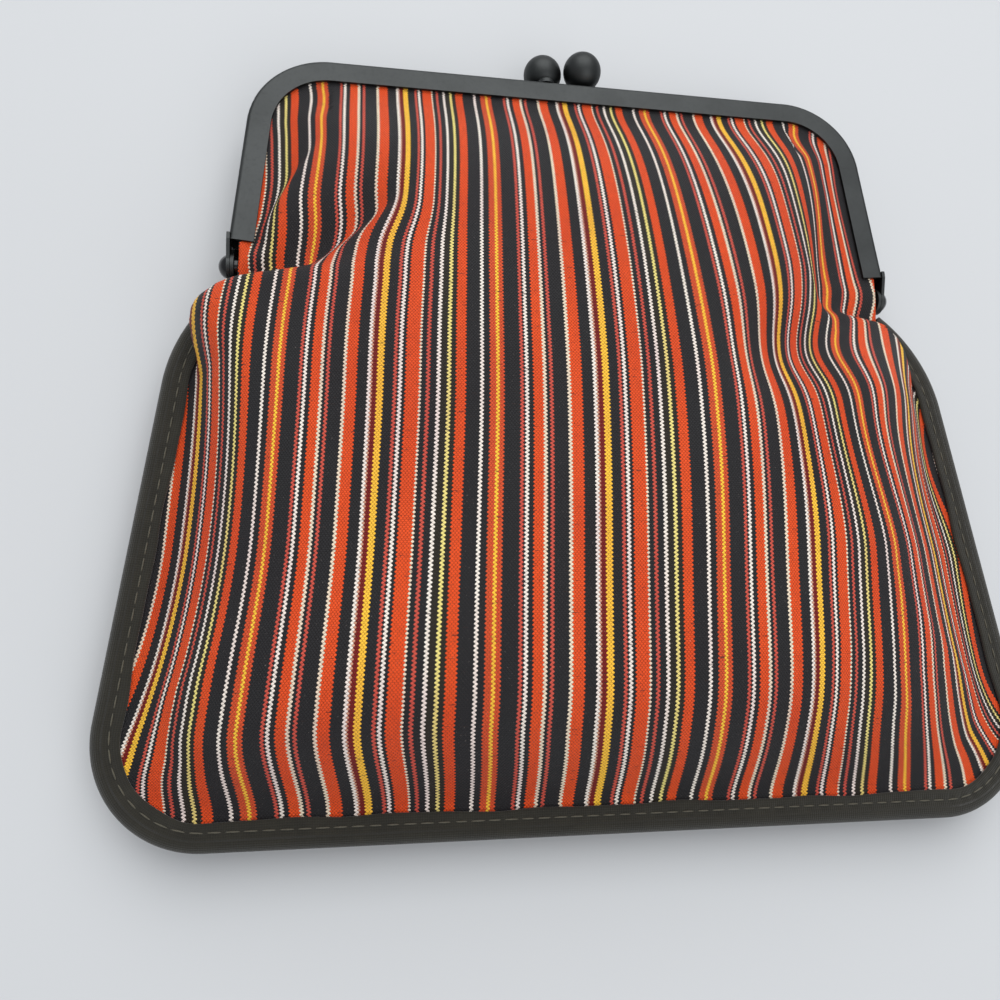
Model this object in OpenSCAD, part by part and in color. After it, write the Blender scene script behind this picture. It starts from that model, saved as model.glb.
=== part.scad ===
// Kiss lock purse lying on its back, in millimetres.
// X runs across the purse, Y runs from the bottom seam to the clasp, Z points away from the table.
// Two bent channel frames turn on rivets, and each one grips a cloth panel, its lining and a paper cord.

/* [Frame] */
// Width of the frame across its hinge ends
frame_width = 150; // [130:1:170]
// Height of the frame from the hinge axis to the top bar
frame_rise = 50; // [44:1:60]
// Inward lean of the frame sides, in degrees
frame_lean = 5; // [2:0.5:8]
// Outside radius of the two frame corners
frame_corner_r = 18; // [14:1:22]
// Width of the channel face that grips the cloth
channel_face = 5.2; // [4.8:0.1:6.4]
// Thickness of one half of the frame
channel_depth = 4; // [3.9:0.1:4.6]
// Thickness of the frame metal
sheet_t = 0.6; // [0.5:0.05:0.7]
// Bend radius of the channel along its outer edges
bend_r = 1; // [0.7:0.1:1.3]
// Gap between the two halves when the frame is shut
parting_gap = 0.3; // [0.3:0.05:0.5]

/* [Hinge] */
// Distance of the channel ends from the hinge axis
channel_foot = 4.5; // [4.3:0.1:5.5]
// Radius of the rounded hinge ears
ear_r = 2.9; // [2.6:0.1:3.1]
// Thickness of the hinge ears
ear_t = 0.7; // [0.6:0.05:0.8]
// Radius of the rivet shank
rivet_r = 1.1; // [0.9:0.05:1.3]
// Radial clearance of the rivet in the ears
rivet_clearance = 0.05; // [0.03:0.01:0.08]
// Side clearance between the ears and under the rivet heads
ear_gap = 0.1; // [0.1:0.02:0.2]
// Radius of the domed rivet head
rivet_head_r = 2.5; // [2:0.1:2.8]
// Height of the domed rivet head
rivet_head_h = 1.8; // [1.2:0.1:2.2]
// Thickness of the flat inner rivet head
rivet_foot_t = 0.7; // [0.5:0.1:0.9]

/* [Clasp] */
// Diameter of the clasp balls
ball_d = 9; // [8:0.5:11]
// Gap between a clasp ball and the top bar
ball_lift = 1.1; // [1:0.1:2]
// Gap by which the two balls pass each other
ball_pass = 0.2; // [0.2:0.05:0.5]
// Distance by which each ball crosses the mid-plane
ball_cross = 1.2; // [0.6:0.1:1.6]
// Radius of the leaning ball stem
stem_r = 1.5; // [1.2:0.1:1.7]
// Radius of the collar on the top bar
collar_r = 1.9; // [1.7:0.1:2]
// Height of the collar on the top bar
collar_h = 0.9; // [0.7:0.1:1.2]

/* [Body] */
// Distance by which the body is wider than the frame on each side
body_flare = 20; // [18:1:26]
// Drop of the body from the hinge axis to the bottom edge
body_drop = 116.7; // [100:0.1:130]
// Radius of the bottom corners
corner_r = 21; // [16:1:26]
// Outward lean of the body sides, in degrees
side_lean = 7; // [5:0.5:8]
// Radius of the shoulders under the hinges
shoulder_r = 35; // [30:1:40]
// Height of the filled front above the mid-plane
front_bulge = 22; // [16:1:26]
// Height of the mid-plane above the table
back_bulge = 9; // [8:0.5:12]
// Distance over which the cloth swells up from the binding
rim_swell = 11; // [9:0.5:13]
// Distance over which the cloth swells up from the frame
frame_swell = 15; // [12:0.5:18]
// Share by which the cloth swells up more steeply at the left shoulder
left_steep = 0.72; // [0.5:0.02:0.74]
// Share by which the cloth swells up more steeply at the right shoulder
right_steep = 0.2; // [0.1:0.05:0.5]

/* [Folds] */
// Depth of the crease that leaves the left hinge
left_fold_depth = 8; // [4:0.5:8]
// Length of the crease that leaves the left hinge
left_fold_run = 42; // [30:1:48]
// Direction of the left crease from the X axis, in degrees
left_fold_turn = 37; // [28:1:42]
// Distance of the creases below the hinges where they start
fold_drop = 8; // [6:0.5:9]
// Depth of the valley beside the right frame side
right_fold_depth = 8; // [3:0.5:8]
// Length of the valley beside the right frame side
right_fold_run = 38; // [30:1:40]
// Direction of the right valley from the X axis, in degrees
right_fold_turn = 86; // [82:1:96]
// Distance of the right valley from the right hinge
right_fold_in = 12; // [9:0.5:14]
// Depth of the pinch that leaves the right hinge
pinch_depth = 8; // [4:0.5:8]
// Length of the pinch that leaves the right hinge
pinch_run = 50; // [30:1:54]
// Direction of the right pinch from the X axis, in degrees
pinch_turn = 206; // [198:1:212]
// Half width of the steep side of the folds
fold_steep_w = 3.2; // [3:0.1:4]
// Half width of the gentle side of the folds
fold_gentle_w = 7; // [5:0.25:9]

/* [Cloth] */
// Thickness of the striped panels
panel_t = 0.7; // [0.5:0.05:0.75]
// Thickness of the linings
lining_t = 0.4; // [0.3:0.05:0.45]
// Gap between stacked cloth layers
layer_gap = 0.15; // [0.12:0.01:0.2]
// Distance by which each lining hangs inside its panel
lining_slack = 9; // [8:0.5:10]
// Radius of the paper cord that wedges the cloth in the channel
cord_r = 0.45; // [0.35:0.05:0.5]

/* [Binding] */
// Finished width of the edge binding
binding_w = 5.6; // [5.2:0.1:6.5]
// Thickness of the binding tape
tape_t = 0.6; // [0.4:0.05:0.7]
// Distance of the binding ends from the hinge axis
neck_drop = 4.1; // [4:0.1:5]

/* [Hidden] */
$fn = 64;
$grow = 0;
fuse_grow = 0.012;
fuse_turn = 1.2;

// Heights of the cloth layers above the mid-plane inside the binding
lining_low = layer_gap;
panel_low = lining_low + lining_t + layer_gap;
bind_edge = panel_low + panel_t;
slot_half = bind_edge + layer_gap;
binding_half_t = slot_half + tape_t;
cloth_inset = binding_half_t + layer_gap;

// Height of the panel face inside the frame channel
half_low = parting_gap / 2;
half_high = half_low + channel_depth;
cloth_clearance = 0.2;
channel_edge = half_high - sheet_t - cloth_clearance;
channel_share = 0.42;
cord_share = 0.6;
channel_inset = channel_face * channel_share;

// Overall reach of the clasp and the resulting centre of the purse
ball_rise = ball_lift + ball_d / 2;
clasp_top = frame_rise + ball_rise + ball_d / 2;
hinge_y = (body_drop - clasp_top) / 2;
half_frame = frame_width / 2;
half_body = half_frame + body_flare;

// Outer edge of the binding on the right half
corner_c = [half_body - corner_r, corner_r - body_drop];
side_n = [cos(side_lean), sin(side_lean)];
side_up = [-sin(side_lean), cos(side_lean)];
side_foot = corner_c + corner_r * side_n;
neck = [half_frame - ear_t, -neck_drop];
neck_to_foot = side_foot - shoulder_r * side_n - neck;
neck_across = neck_to_foot * side_n;
side_length = -(neck_to_foot * side_up) - sqrt(shoulder_r * shoulder_r - neck_across * neck_across);
shoulder_c = side_foot - shoulder_r * side_n + side_length * side_up;
neck_angle = atan2(neck.y - shoulder_c.y, neck.x - shoulder_c.x);

// Outer edge of the frame on the right half
arch_n = [cos(frame_lean), sin(frame_lean)];
arch_up = [-sin(frame_lean), cos(frame_lean)];
arch_cy = frame_rise - frame_corner_r;
arch_c = [half_frame - (frame_corner_r + arch_cy * sin(frame_lean)) / cos(frame_lean), arch_cy];
arch_bend = arch_c + frame_corner_r * arch_n;
arch_run = (arch_bend.y - channel_foot) / cos(frame_lean);
arch_foot = arch_bend - arch_run * arch_up;

// Hinge ears: overlap on the channel in sheet thicknesses, and where their flanks leave the round end
ear_overlap = 2.5;
ear_back_turn = 45;
ear_front_turn = 30;
rivet_foot_share = 0.8;

// Positions of the hinge ears, counted inwards from the frame side
front_ear_in = ear_t;
back_ear_in = front_ear_in + ear_gap + ear_t;
rivet_foot_in = back_ear_in + ear_gap / 2 + rivet_foot_t;
cloth_neck_x = half_frame - rivet_foot_in - cloth_clearance * 2;

// Cloth margins that stay flat inside the binding and inside the channel
bind_margin = binding_w + cloth_clearance;
channel_margin = channel_face + cloth_clearance;
neck_blend = 3;
neck_low = -neck_drop - neck_blend;
neck_high = 1;
lining_delay = 4;
flat_press = 1.25;
shoulder_low = -body_drop / 2;
shoulder_high = -neck_drop * 2;
swell_power = 1.5;
steep_blend = 40;

// Points of the cloth grids: edge points on each stretch from the bottom middle to the top middle,
// the share by which the front has more of them, and rings from the edge to the spine
edge_counts = [5, 6, 4, 4, 3, 4, 4];
front_fine = 1.4;
front_rings = 15;
back_rings = 8;
lining_rings = 6;
spine_rise = 45;
spine_low = spine_rise - body_drop;
spine_high = frame_rise / 4;
spine_bow = 10;
spine_reach = 0.93;
ring_growth = 1.3;
slope_step = 0.05;

function lerp(a, b, k) = a + (b - a) * k;
function smooth(a, b, t) =
    let(k = min(1, max(0, (t - a) / (b - a)))) k * k * (3 - 2 * k);
function turn(a) = [cos(a), sin(a)];
function swell(gap, reach) = 1 - exp(-pow(max(0, gap) / reach, swell_power));

// Distance of a point from the outer edge of the binding
function bind_gap(p) =
    let(low = p - corner_c)
    let(high = p - shoulder_c)
    let(beside = high * side_n > 0 && atan2(high.y, high.x) <= neck_angle)
    let(shoulder = beside ? shoulder_r - norm(high) : norm(p - neck))
    let(in_corner = low.x > 0 && low * side_up < 0)
    let(flank = in_corner ? corner_r - norm(low) : (side_foot - p) * side_n)
    min(high * side_up > 0 ? shoulder : flank, p.y + body_drop);

// Distance of a point from the flat cloth margin along the frame
function frame_gap(p) =
    let(low = p - arch_foot)
    let(high = p - arch_c)
    let(in_corner = high.x > 0 && high * arch_up > 0)
    let(flank = in_corner ? frame_corner_r - norm(high) : (arch_bend - p) * arch_n)
    low * arch_up < 0 ? norm(p - arch_foot + channel_margin * arch_n)
    : max(0, min(flank, frame_rise - p.y) - channel_margin);

// Height of a cloth edge above the mid-plane, from the binding level to the channel level
function edge_level(y, delay) =
    lerp(bind_edge, channel_edge, smooth(neck_low + delay, neck_high + delay, y));

// Fullness of the cloth, from nothing at its edges to one in the middle
function fullness(p) =
    let(q = [abs(p.x), p.y])
    let(steep = lerp(left_steep, right_steep, smooth(-steep_blend, steep_blend, p.x)))
    let(rim_reach = rim_swell * (1 - steep * smooth(shoulder_low, shoulder_high, p.y)))
    let(frame_reach = frame_swell * (1 - steep * smooth(0, 2 * neck_low, p.y)))
    swell(bind_gap(q) - bind_margin, rim_reach) * swell(frame_gap(q), frame_reach);

// Depth of one fold that fades out along its run, with its own half width on each side
function fold(p, start, angle, run, depth, left_w, right_w) =
    let(ahead = turn(angle))
    let(t = min(1, max(0, (p - start) * ahead / run)))
    let(away = p - start - run * t * ahead)
    let(half_w = ahead.x * away.y > ahead.y * away.x ? left_w : right_w)
    depth * (1 - t * t) * exp(-pow(norm(away) / half_w, 2));

fold_mid_w = (fold_steep_w + fold_gentle_w) / 2;
left_hinge = [-arch_foot.x + channel_margin, -fold_drop];
right_hinge = [arch_foot.x - channel_margin, -fold_drop];
right_valley = right_hinge - [right_fold_in, neck_drop];
function fold_depth(p) = max(
    fold(p, left_hinge, left_fold_turn, left_fold_run, left_fold_depth, fold_gentle_w, fold_steep_w),
    fold(p, right_valley, right_fold_turn, right_fold_run, right_fold_depth, fold_mid_w, fold_mid_w),
    fold(p, right_hinge, pinch_turn, pinch_run, pinch_depth, fold_mid_w, fold_gentle_w));

// Crown of the front, lower towards the frame and towards the sides
frame_droop = 0.3;
side_droop = 0.2;
function crown(p) =
    front_bulge * (1 - frame_droop * smooth(-body_drop / 2, frame_rise, p.y))
    * (1 - side_droop * pow(p.x / half_body, 2));

// Face heights of the four cloth pieces above the mid-plane
function panel_front_z(p) =
    lerp(edge_level(p.y, 0), crown(p) - fold_depth(p), fullness(p));
function lining_front_z(p) =
    lerp(edge_level(p.y, lining_delay), crown(p) - lining_slack, fullness(p)) - panel_t - layer_gap;
function panel_back_z(p) =
    -min(back_bulge, lerp(edge_level(p.y, 0), back_bulge * flat_press, fullness(p)));
function lining_back_z(p) =
    panel_t + layer_gap
    - min(back_bulge, lerp(edge_level(p.y, lining_delay), back_bulge, fullness(p)));
function cloth_z(kind, p) =
    kind == "panel_front" ? panel_front_z(p)
    : kind == "lining_front" ? lining_front_z(p)
    : kind == "panel_back" ? panel_back_z(p)
    : lining_back_z(p);

// Right half of a cloth edge from the bottom middle to the top middle, as points with inward normals
function half_edge(fine) =
    let(bottom_n = round(edge_counts[0] * fine))
    let(corner_n = round(edge_counts[1] * fine))
    let(side_count = round(edge_counts[2] * fine))
    let(shoulder_n = round(edge_counts[3] * fine))
    let(frame_n = round(edge_counts[4] * fine))
    let(arch_count = round(edge_counts[5] * fine))
    let(top_n = round(edge_counts[6] * fine))
    let(bind_m = binding_w - cloth_inset + cloth_clearance)
    let(frame_m = channel_face - channel_inset + cloth_clearance)
    concat(
        [for (i = [0 : bottom_n])
            [[corner_c.x * i / bottom_n, cloth_inset - body_drop], [0, 1], bind_m]],
        [for (i = [1 : corner_n])
            let(d = turn(lerp(-90, side_lean, i / corner_n)))
            [corner_c + (corner_r - cloth_inset) * d, -d, bind_m]],
        [for (i = [1 : side_count])
            [side_foot - cloth_inset * side_n + side_length * side_up * i / side_count,
                -side_n, bind_m]],
        [for (i = [1 : shoulder_n])
            let(d = turn(lerp(side_lean, neck_angle, i / shoulder_n)))
            [shoulder_c + (shoulder_r - cloth_inset) * d, -d, bind_m]],
        [[[cloth_neck_x, 0], [-1, 0], bind_m]],
        [for (i = [0 : frame_n])
            [arch_foot - channel_inset * arch_n + arch_run * arch_up * i / frame_n,
                -arch_n, frame_m]],
        [for (i = [1 : arch_count])
            let(d = turn(lerp(frame_lean, 90, i / arch_count)))
            [arch_c + (frame_corner_r - channel_inset) * d, -d, frame_m]],
        [for (i = [1 : top_n])
            [[arch_c.x * (1 - i / top_n), frame_rise - channel_inset], [0, -1], frame_m]]);

// Plan of a cloth piece as rings of points, from its edge to the spine in its middle
function mirrored(e) = [[-e[0].x, e[0].y], [-e[1].x, e[1].y], e[2]];
function whole_edge(half) =
    concat(half, [for (i = [len(half) - 2 : -1 : 1]) mirrored(half[i])]);
function ring_point(e, k, rings) =
    let(inner = e[0] + e[2] * e[1])
    let(bow = spine_bow * (1 - pow(inner.x / half_body, 2)))
    let(middle = [0, min(spine_high + bow, max(spine_low - bow, inner.y))])
    k == 0 ? e[0] : lerp(inner, middle, spine_reach * pow((k - 1) / (rings - 1), ring_growth));
function plan(edge, rings) =
    [for (k = [0 : rings]) for (e = edge) ring_point(e, k, rings)];

// Unit vector that leads from the face of a cloth piece towards the inside of the purse
function inward(kind, p) =
    let(s = slope_step)
    let(dx = (cloth_z(kind, p + [s, 0]) - cloth_z(kind, p - [s, 0])) / (2 * s))
    let(dy = (cloth_z(kind, p + [0, s]) - cloth_z(kind, p - [0, s])) / (2 * s))
    let(n = [dx, dy, -1] / norm([dx, dy, -1]))
    kind == "panel_front" || kind == "lining_front" ? n : -n;
function face_points(kind, points) = [for (p = points) [p.x, p.y, cloth_z(kind, p)]];
function back_points(kind, points, t) =
    [for (p = points) [p.x, p.y, cloth_z(kind, p)] + t * inward(kind, p)];

// Triangles of one side of a cloth piece, seen from above
function sheet_faces(n, rings, first) =
    concat(
        [for (k = [0 : rings - 1]) for (j = [0 : n - 1])
            let(a = first + k * n + j)
            let(b = first + k * n + (j + 1) % n)
            each [[a, a + n, b + n], [a, b + n, b]]],
        [for (j = [0 : n / 2 - 1])
            let(a = first + rings * n + j)
            let(c = first + rings * n + (n - j) % n)
            let(d = first + rings * n + n - j - 1)
            each concat(j < n / 2 - 1 ? [[a, d, a + 1]] : [], j > 0 ? [[a, c, d]] : [])]);
function flipped(faces) = [for (f = faces) [f[2], f[1], f[0]]];

module cloth(kind, t, fine, rings) {
    edge = whole_edge(half_edge(fine));
    n = len(edge);
    points = plan(edge, rings);
    face = face_points(kind, points);
    back = back_points(kind, points, t);
    front_side = kind == "panel_front" || kind == "lining_front";
    count = n * (rings + 1);
    polyhedron(
        points = front_side ? concat(face, back) : concat(back, face),
        faces = concat(
            sheet_faces(n, rings, 0),
            flipped(sheet_faces(n, rings, count)),
            [for (j = [0 : n - 1])
                let(k = (j + 1) % n)
                each [[j, k, count + k], [j, count + k, count + j]]]),
        convexity = 6);
}

// Places a piece that is drawn around the middle of the hinge axis
module place() {
    translate([0, hinge_y, back_bulge])
        children();
}

// Straight run of a profile towards the foot of a side, from a given point and direction
module run(start, angle, length) {
    translate([start.x, start.y, 0])
        rotate([0, 0, angle])
            rotate([90, 0, 0])
                linear_extrude(length)
                    children();
}

// Curved run of a profile around a centre, a hair fuller and longer so that it fuses with the straight runs
module sweep(centre, radius, from, to) {
    $grow = fuse_grow;
    translate([centre.x, centre.y, 0])
        rotate([0, 0, from - fuse_turn])
            rotate_extrude(angle = to - from + 2 * fuse_turn)
                translate([radius, 0])
                    children();
}

// Profile led along both sides, both corners and the top bar of the frame
module along_arch() {
    for (side = [0, 1])
        mirror([side, 0, 0]) {
            run(arch_bend, frame_lean, arch_run)
                children();
            sweep(arch_c, frame_corner_r, frame_lean, 90)
                children();
        }
    run([-arch_c.x, frame_rise], 90, 2 * arch_c.x)
        children();
}

// Channel of bent sheet, open towards the cloth
module channel_profile() {
    face = channel_face + $grow;
    low = half_low - $grow;
    wall = sheet_t + 2 * $grow;
    depth = channel_depth + 2 * $grow;
    difference() {
        union() {
            translate([-face, low])
                square([face - bend_r, depth]);
            translate([-bend_r, low + bend_r])
                square([bend_r + $grow, depth - 2 * bend_r]);
            for (z = [low + bend_r, low + depth - bend_r])
                translate([-bend_r, z])
                    circle(bend_r + $grow);
        }
        translate([-face - wall, low + wall])
            square([face, depth - 2 * wall]);
    }
}

// Hinge ear in the plane across the axis, from its round end up to the channel
module ear_profile() {
    ear_top = channel_foot + ear_overlap * sheet_t;
    difference() {
        union() {
            circle(ear_r);
            polygon([
                -ear_r * [cos(ear_back_turn), -sin(ear_back_turn)],
                [channel_foot, half_high],
                [ear_top, half_high],
                [ear_top, half_low],
                [channel_foot, half_low],
                ear_r * [cos(ear_front_turn), -sin(ear_front_turn)]]);
        }
        circle(rivet_r + rivet_clearance);
    }
}

// Two ears of one half of the frame, set in from the frame sides
module ears(inset) {
    for (side = [0, 1])
        mirror([side, 0, 0])
            translate([half_frame - inset, 0, 0])
                rotate([90, 0, 90])
                    linear_extrude(ear_t)
                        ear_profile();
}

// Short step that joins the inner ears to the channel walls
module ear_steps() {
    for (side = [0, 1])
        mirror([side, 0, 0])
            translate([half_frame - back_ear_in, channel_foot, half_low])
                cube([back_ear_in - tan(frame_lean) * channel_foot - bend_r / 2,
                    2 * sheet_t, channel_depth]);
}

module frame_front() {
    color([0.36, 0.37, 0.37])
        place() {
            along_arch()
                channel_profile();
            ears(front_ear_in);
        }
}

module frame_back() {
    color([0.33, 0.34, 0.34])
        place()
            mirror([0, 0, 1]) {
                along_arch()
                    channel_profile();
                ears(back_ear_in);
                ear_steps();
            }
}

// Ball on a stem that leans over the other half of the frame
module clasp_ball() {
    ball_x = (ball_d + ball_pass) / 2;
    base_z = (half_low + half_high) / 2;
    lean = atan2(base_z + ball_cross, ball_rise - collar_h);
    translate([-ball_x, frame_rise, base_z]) {
        rotate([-90, 0, 0])
            cylinder(h = collar_h, r = collar_r);
        translate([0, collar_h / 2, 0])
            rotate([-90 - lean, 0, 0])
                cylinder(h = ball_rise, r = stem_r);
        translate([0, ball_rise, -base_z - ball_cross])
            sphere(d = ball_d);
    }
}

module clasp_ball_front() {
    color([0.4, 0.4, 0.39])
        place()
            clasp_ball();
}

module clasp_ball_back() {
    color([0.4, 0.4, 0.39])
        place()
            rotate([0, 180, 0])
                clasp_ball();
}

// Rivet through both ears, domed outside and flat inside
module hinge_rivet() {
    dome_r = (rivet_head_r * rivet_head_r + rivet_head_h * rivet_head_h) / (2 * rivet_head_h);
    under_head = half_frame + ear_gap / 2;
    inner_end = half_frame - rivet_foot_in;
    rotate([0, 90, 0]) {
        translate([0, 0, inner_end])
            cylinder(h = rivet_foot_t, r = rivet_head_r * rivet_foot_share);
        translate([0, 0, inner_end])
            cylinder(h = under_head - inner_end + rivet_head_h / 2, r = rivet_r);
        translate([0, 0, under_head])
            rotate_extrude()
                intersection() {
                    translate([0, rivet_head_h - dome_r])
                        circle(dome_r);
                    square([rivet_head_r, rivet_head_h]);
                }
    }
}

module hinge_rivet_left() {
    color([0.1, 0.1, 0.11])
        place()
            mirror([1, 0, 0])
                hinge_rivet();
}

module hinge_rivet_right() {
    color([0.1, 0.1, 0.11])
        place()
            hinge_rivet();
}

// Paper cord in the channel, on the inner side of the cloth
module channel_cord() {
    along_arch()
        translate([-channel_face * cord_share, half_low + sheet_t + cloth_clearance / 2 + cord_r])
            circle(cord_r + $grow);
}

module channel_cord_front() {
    color([0.72, 0.64, 0.5])
        place()
            channel_cord();
}

module channel_cord_back() {
    color([0.72, 0.64, 0.5])
        place()
            mirror([0, 0, 1])
                channel_cord();
}

module panel_front() {
    color([0.75, 0.3, 0.16])
        place()
            cloth("panel_front", panel_t, front_fine, front_rings);
}

module panel_back() {
    color([0.72, 0.28, 0.15])
        place()
            cloth("panel_back", panel_t, 1, back_rings);
}

module lining_front() {
    color([0.3, 0.27, 0.2])
        place()
            cloth("lining_front", lining_t, 1, lining_rings);
}

module lining_back() {
    color([0.3, 0.27, 0.2])
        place()
            cloth("lining_back", lining_t, 1, lining_rings);
}

// Folded tape around the cloth edges, with a rounded outside
module tape_profile() {
    half_t = binding_half_t + $grow;
    slot = slot_half - $grow;
    reach = binding_w + $grow;
    difference() {
        union() {
            translate([-binding_half_t, 0])
                circle(half_t);
            translate([-reach, -half_t])
                square([reach - binding_half_t, 2 * half_t]);
        }
        translate([-binding_half_t, 0])
            circle(slot);
        translate([-reach - binding_half_t, -slot])
            square([reach, 2 * slot]);
    }
}

module edge_binding() {
    color([0.22, 0.2, 0.15])
        place() {
            for (side = [0, 1])
                mirror([side, 0, 0]) {
                    sweep(corner_c, corner_r, -90, side_lean)
                        tape_profile();
                    run(side_foot + side_length * side_up, side_lean, side_length)
                        tape_profile();
                    sweep(shoulder_c, shoulder_r, side_lean, neck_angle)
                        tape_profile();
                }
            run([corner_c.x, -body_drop], -90, 2 * corner_c.x)
                tape_profile();
        }
}

frame_front();
frame_back();
clasp_ball_front();
clasp_ball_back();
hinge_rivet_left();
hinge_rivet_right();
channel_cord_front();
channel_cord_back();
panel_front();
panel_back();
lining_front();
lining_back();
edge_binding();
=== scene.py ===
"""Looks of a kiss lock purse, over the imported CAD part.

The purse has striped cloth, a bound and stitched edge and a satin metal frame. Shapes are drawn in
millimetres around the middle of the hinge axis, and PurseShape.place puts them where the part is, in metres.
"""

import logging
import math
from dataclasses import dataclass, field
from enum import Enum
from typing import Callable

import bpy
import numpy as np
from mathutils import Matrix, Vector


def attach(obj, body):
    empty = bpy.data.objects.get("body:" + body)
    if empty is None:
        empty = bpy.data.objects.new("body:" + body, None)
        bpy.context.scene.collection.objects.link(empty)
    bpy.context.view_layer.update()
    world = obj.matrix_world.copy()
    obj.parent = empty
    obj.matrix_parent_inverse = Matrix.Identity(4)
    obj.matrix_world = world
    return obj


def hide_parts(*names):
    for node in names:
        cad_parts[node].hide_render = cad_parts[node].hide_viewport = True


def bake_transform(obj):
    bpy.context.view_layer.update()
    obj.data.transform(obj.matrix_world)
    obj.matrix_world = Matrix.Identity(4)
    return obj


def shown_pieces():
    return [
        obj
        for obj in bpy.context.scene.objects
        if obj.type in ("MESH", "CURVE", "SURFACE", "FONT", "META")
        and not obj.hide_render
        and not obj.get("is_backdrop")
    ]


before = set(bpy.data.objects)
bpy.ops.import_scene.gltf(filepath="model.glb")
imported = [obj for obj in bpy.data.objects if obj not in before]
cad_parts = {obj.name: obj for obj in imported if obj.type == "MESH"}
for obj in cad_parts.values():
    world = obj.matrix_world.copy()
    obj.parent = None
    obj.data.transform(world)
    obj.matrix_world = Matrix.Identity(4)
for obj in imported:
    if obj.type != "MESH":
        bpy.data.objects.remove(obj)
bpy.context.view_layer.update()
LOG = logging.getLogger("purse")
MM = 0.001
Array = np.ndarray


class Face(Enum):
    """Side of the purse that a cloth piece belongs to."""

    FRONT = 1
    BACK = -1


class Yarn(Enum):
    """Colours of the warp threads, as sRGB values from 0 to 255."""

    BLACK = (31, 31, 33)
    OLIVE = (38, 34, 25)
    ORANGE = (222, 76, 24)
    WHITE = (238, 228, 216)
    CREAM = (232, 214, 188)
    YELLOW = (248, 192, 58)
    LEMON = (232, 216, 128)
    TAN = (198, 142, 116)
    DULL_RED = (198, 80, 64)
    DARK_RED = (116, 20, 14)
    RED = (208, 78, 38)


def linear(rgb: tuple[float, float, float]) -> tuple[float, float, float, float]:
    """Scene-linear colour of an sRGB colour given from 0 to 255."""
    parts = [c / 255 for c in rgb]
    return (*(c / 12.92 if c <= 0.04045 else ((c + 0.055) / 1.055) ** 2.4 for c in parts), 1.0)


def tint(rgb: tuple[int, int, int], factor: float, lift: float = 0) -> tuple[float, float, float, float]:
    """Scene-linear colour of an sRGB colour that is made darker or lighter."""
    return linear(tuple(min(255, factor * c + lift) for c in rgb))


def smooth(low: float, high: float, t: Array) -> Array:
    """Smooth step of t from 0 at low to 1 at high, where low may be the greater one."""
    k = np.clip((t - low) / (high - low), 0, 1)
    return k * k * (3 - 2 * k)


def turn(degrees: float) -> Array:
    """Unit vector at an angle from the X axis."""
    return np.array([math.cos(math.radians(degrees)), math.sin(math.radians(degrees))])


def run_length(points: Array) -> Array:
    """Distance of each point along a line of points."""
    return np.concatenate([[0], np.cumsum(np.linalg.norm(np.diff(points, axis=0), axis=1))])


@dataclass(frozen=True)
class Fold:
    """Crease in the front cloth, from a start point along a straight run.

    Attributes:
        start: Plan position of its deep end, in millimetres from the hinge axis.
        angle: Direction of the run from the X axis, in degrees.
        run: Length of the run.
        depth: Depth at the deep end.
        left: Half width on the left of the run.
        right: Half width on the right of the run.
        sag: Distance by which the run bows to its right.
    """

    start: tuple[float, float]
    angle: float
    run: float
    depth: float
    left: float
    right: float
    sag: float = 0

    def across(self, x: Array, y: Array) -> tuple[Array, Array]:
        """Signed distance to the left of the run, and the fade along it.

        Args:
            x: Plan x of the points, in millimetres.
            y: Plan y of the points, in millimetres.

        Returns:
            Both, for each point.
        """
        ahead = turn(self.angle)
        dx, dy = x - self.start[0], y - self.start[1]
        along = dx * ahead[0] + dy * ahead[1]
        side = ahead[0] * dy - ahead[1] * dx
        t = np.clip(along / self.run, 0, 1)
        over = along - t * self.run
        side = side + 4 * self.sag * t * (1 - t)
        return np.copysign(np.hypot(side, over), side), (1 - t**3) ** 2

    def depth_at(self, x: Array, y: Array) -> Array:
        """Depth of the crease below the full cloth.

        Args:
            x: Plan x of the points, in millimetres.
            y: Plan y of the points, in millimetres.

        Returns:
            Depth at each point.
        """
        gap, fade = self.across(x, y)
        width = np.where(gap > 0, self.left, self.right)
        return self.depth * fade * np.exp(-((gap / width) ** 2))


@dataclass(frozen=True)
class Ripple:
    """Low wave of a sheet or a tape.

    Attributes:
        height: Half height of the wave, in millimetres.
        x_pitch: Distance along x in which its phase turns by one radian.
        y_pitch: Distance along y in which its phase turns by one radian.
        phase: Phase at the origin, in radians.
    """

    height: float
    x_pitch: float
    y_pitch: float = math.inf
    phase: float = 0

    def at(self, x: Array, y: Array | float = 0) -> Array:
        """Height of the wave at points in millimetres."""
        return self.height * np.sin(x / self.x_pitch + y / self.y_pitch + self.phase)


@dataclass(frozen=True)
class Drift:
    """Zone of the front cloth where the stripes drift to the left.

    Attributes:
        amount: Full drift, in millimetres of cloth.
        rise: Plan y at which the drift starts, and at which it is full.
        fall: Plan y at which it starts to fade, and at which the fade ends.
        side: Plan x at which it starts, and at which it is full.
        rest: Share of the drift that the fade leaves.
    """

    amount: float
    rise: tuple[float, float]
    fall: tuple[float, float] | None = None
    side: tuple[float, float] | None = None
    rest: float = 0

    def at(self, x: Array, y: Array) -> Array:
        """Drift of the stripes at plan points.

        Args:
            x: Plan x of the points, in millimetres.
            y: Plan y of the points, in millimetres.

        Returns:
            Drift at each point, in millimetres of cloth.
        """
        drift = self.amount * smooth(*self.rise, y)
        if self.side:
            drift = drift * smooth(*self.side, x)
        if self.fall:
            drift = drift * (1 - (1 - self.rest) * smooth(*self.fall, y))
        return drift


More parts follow.
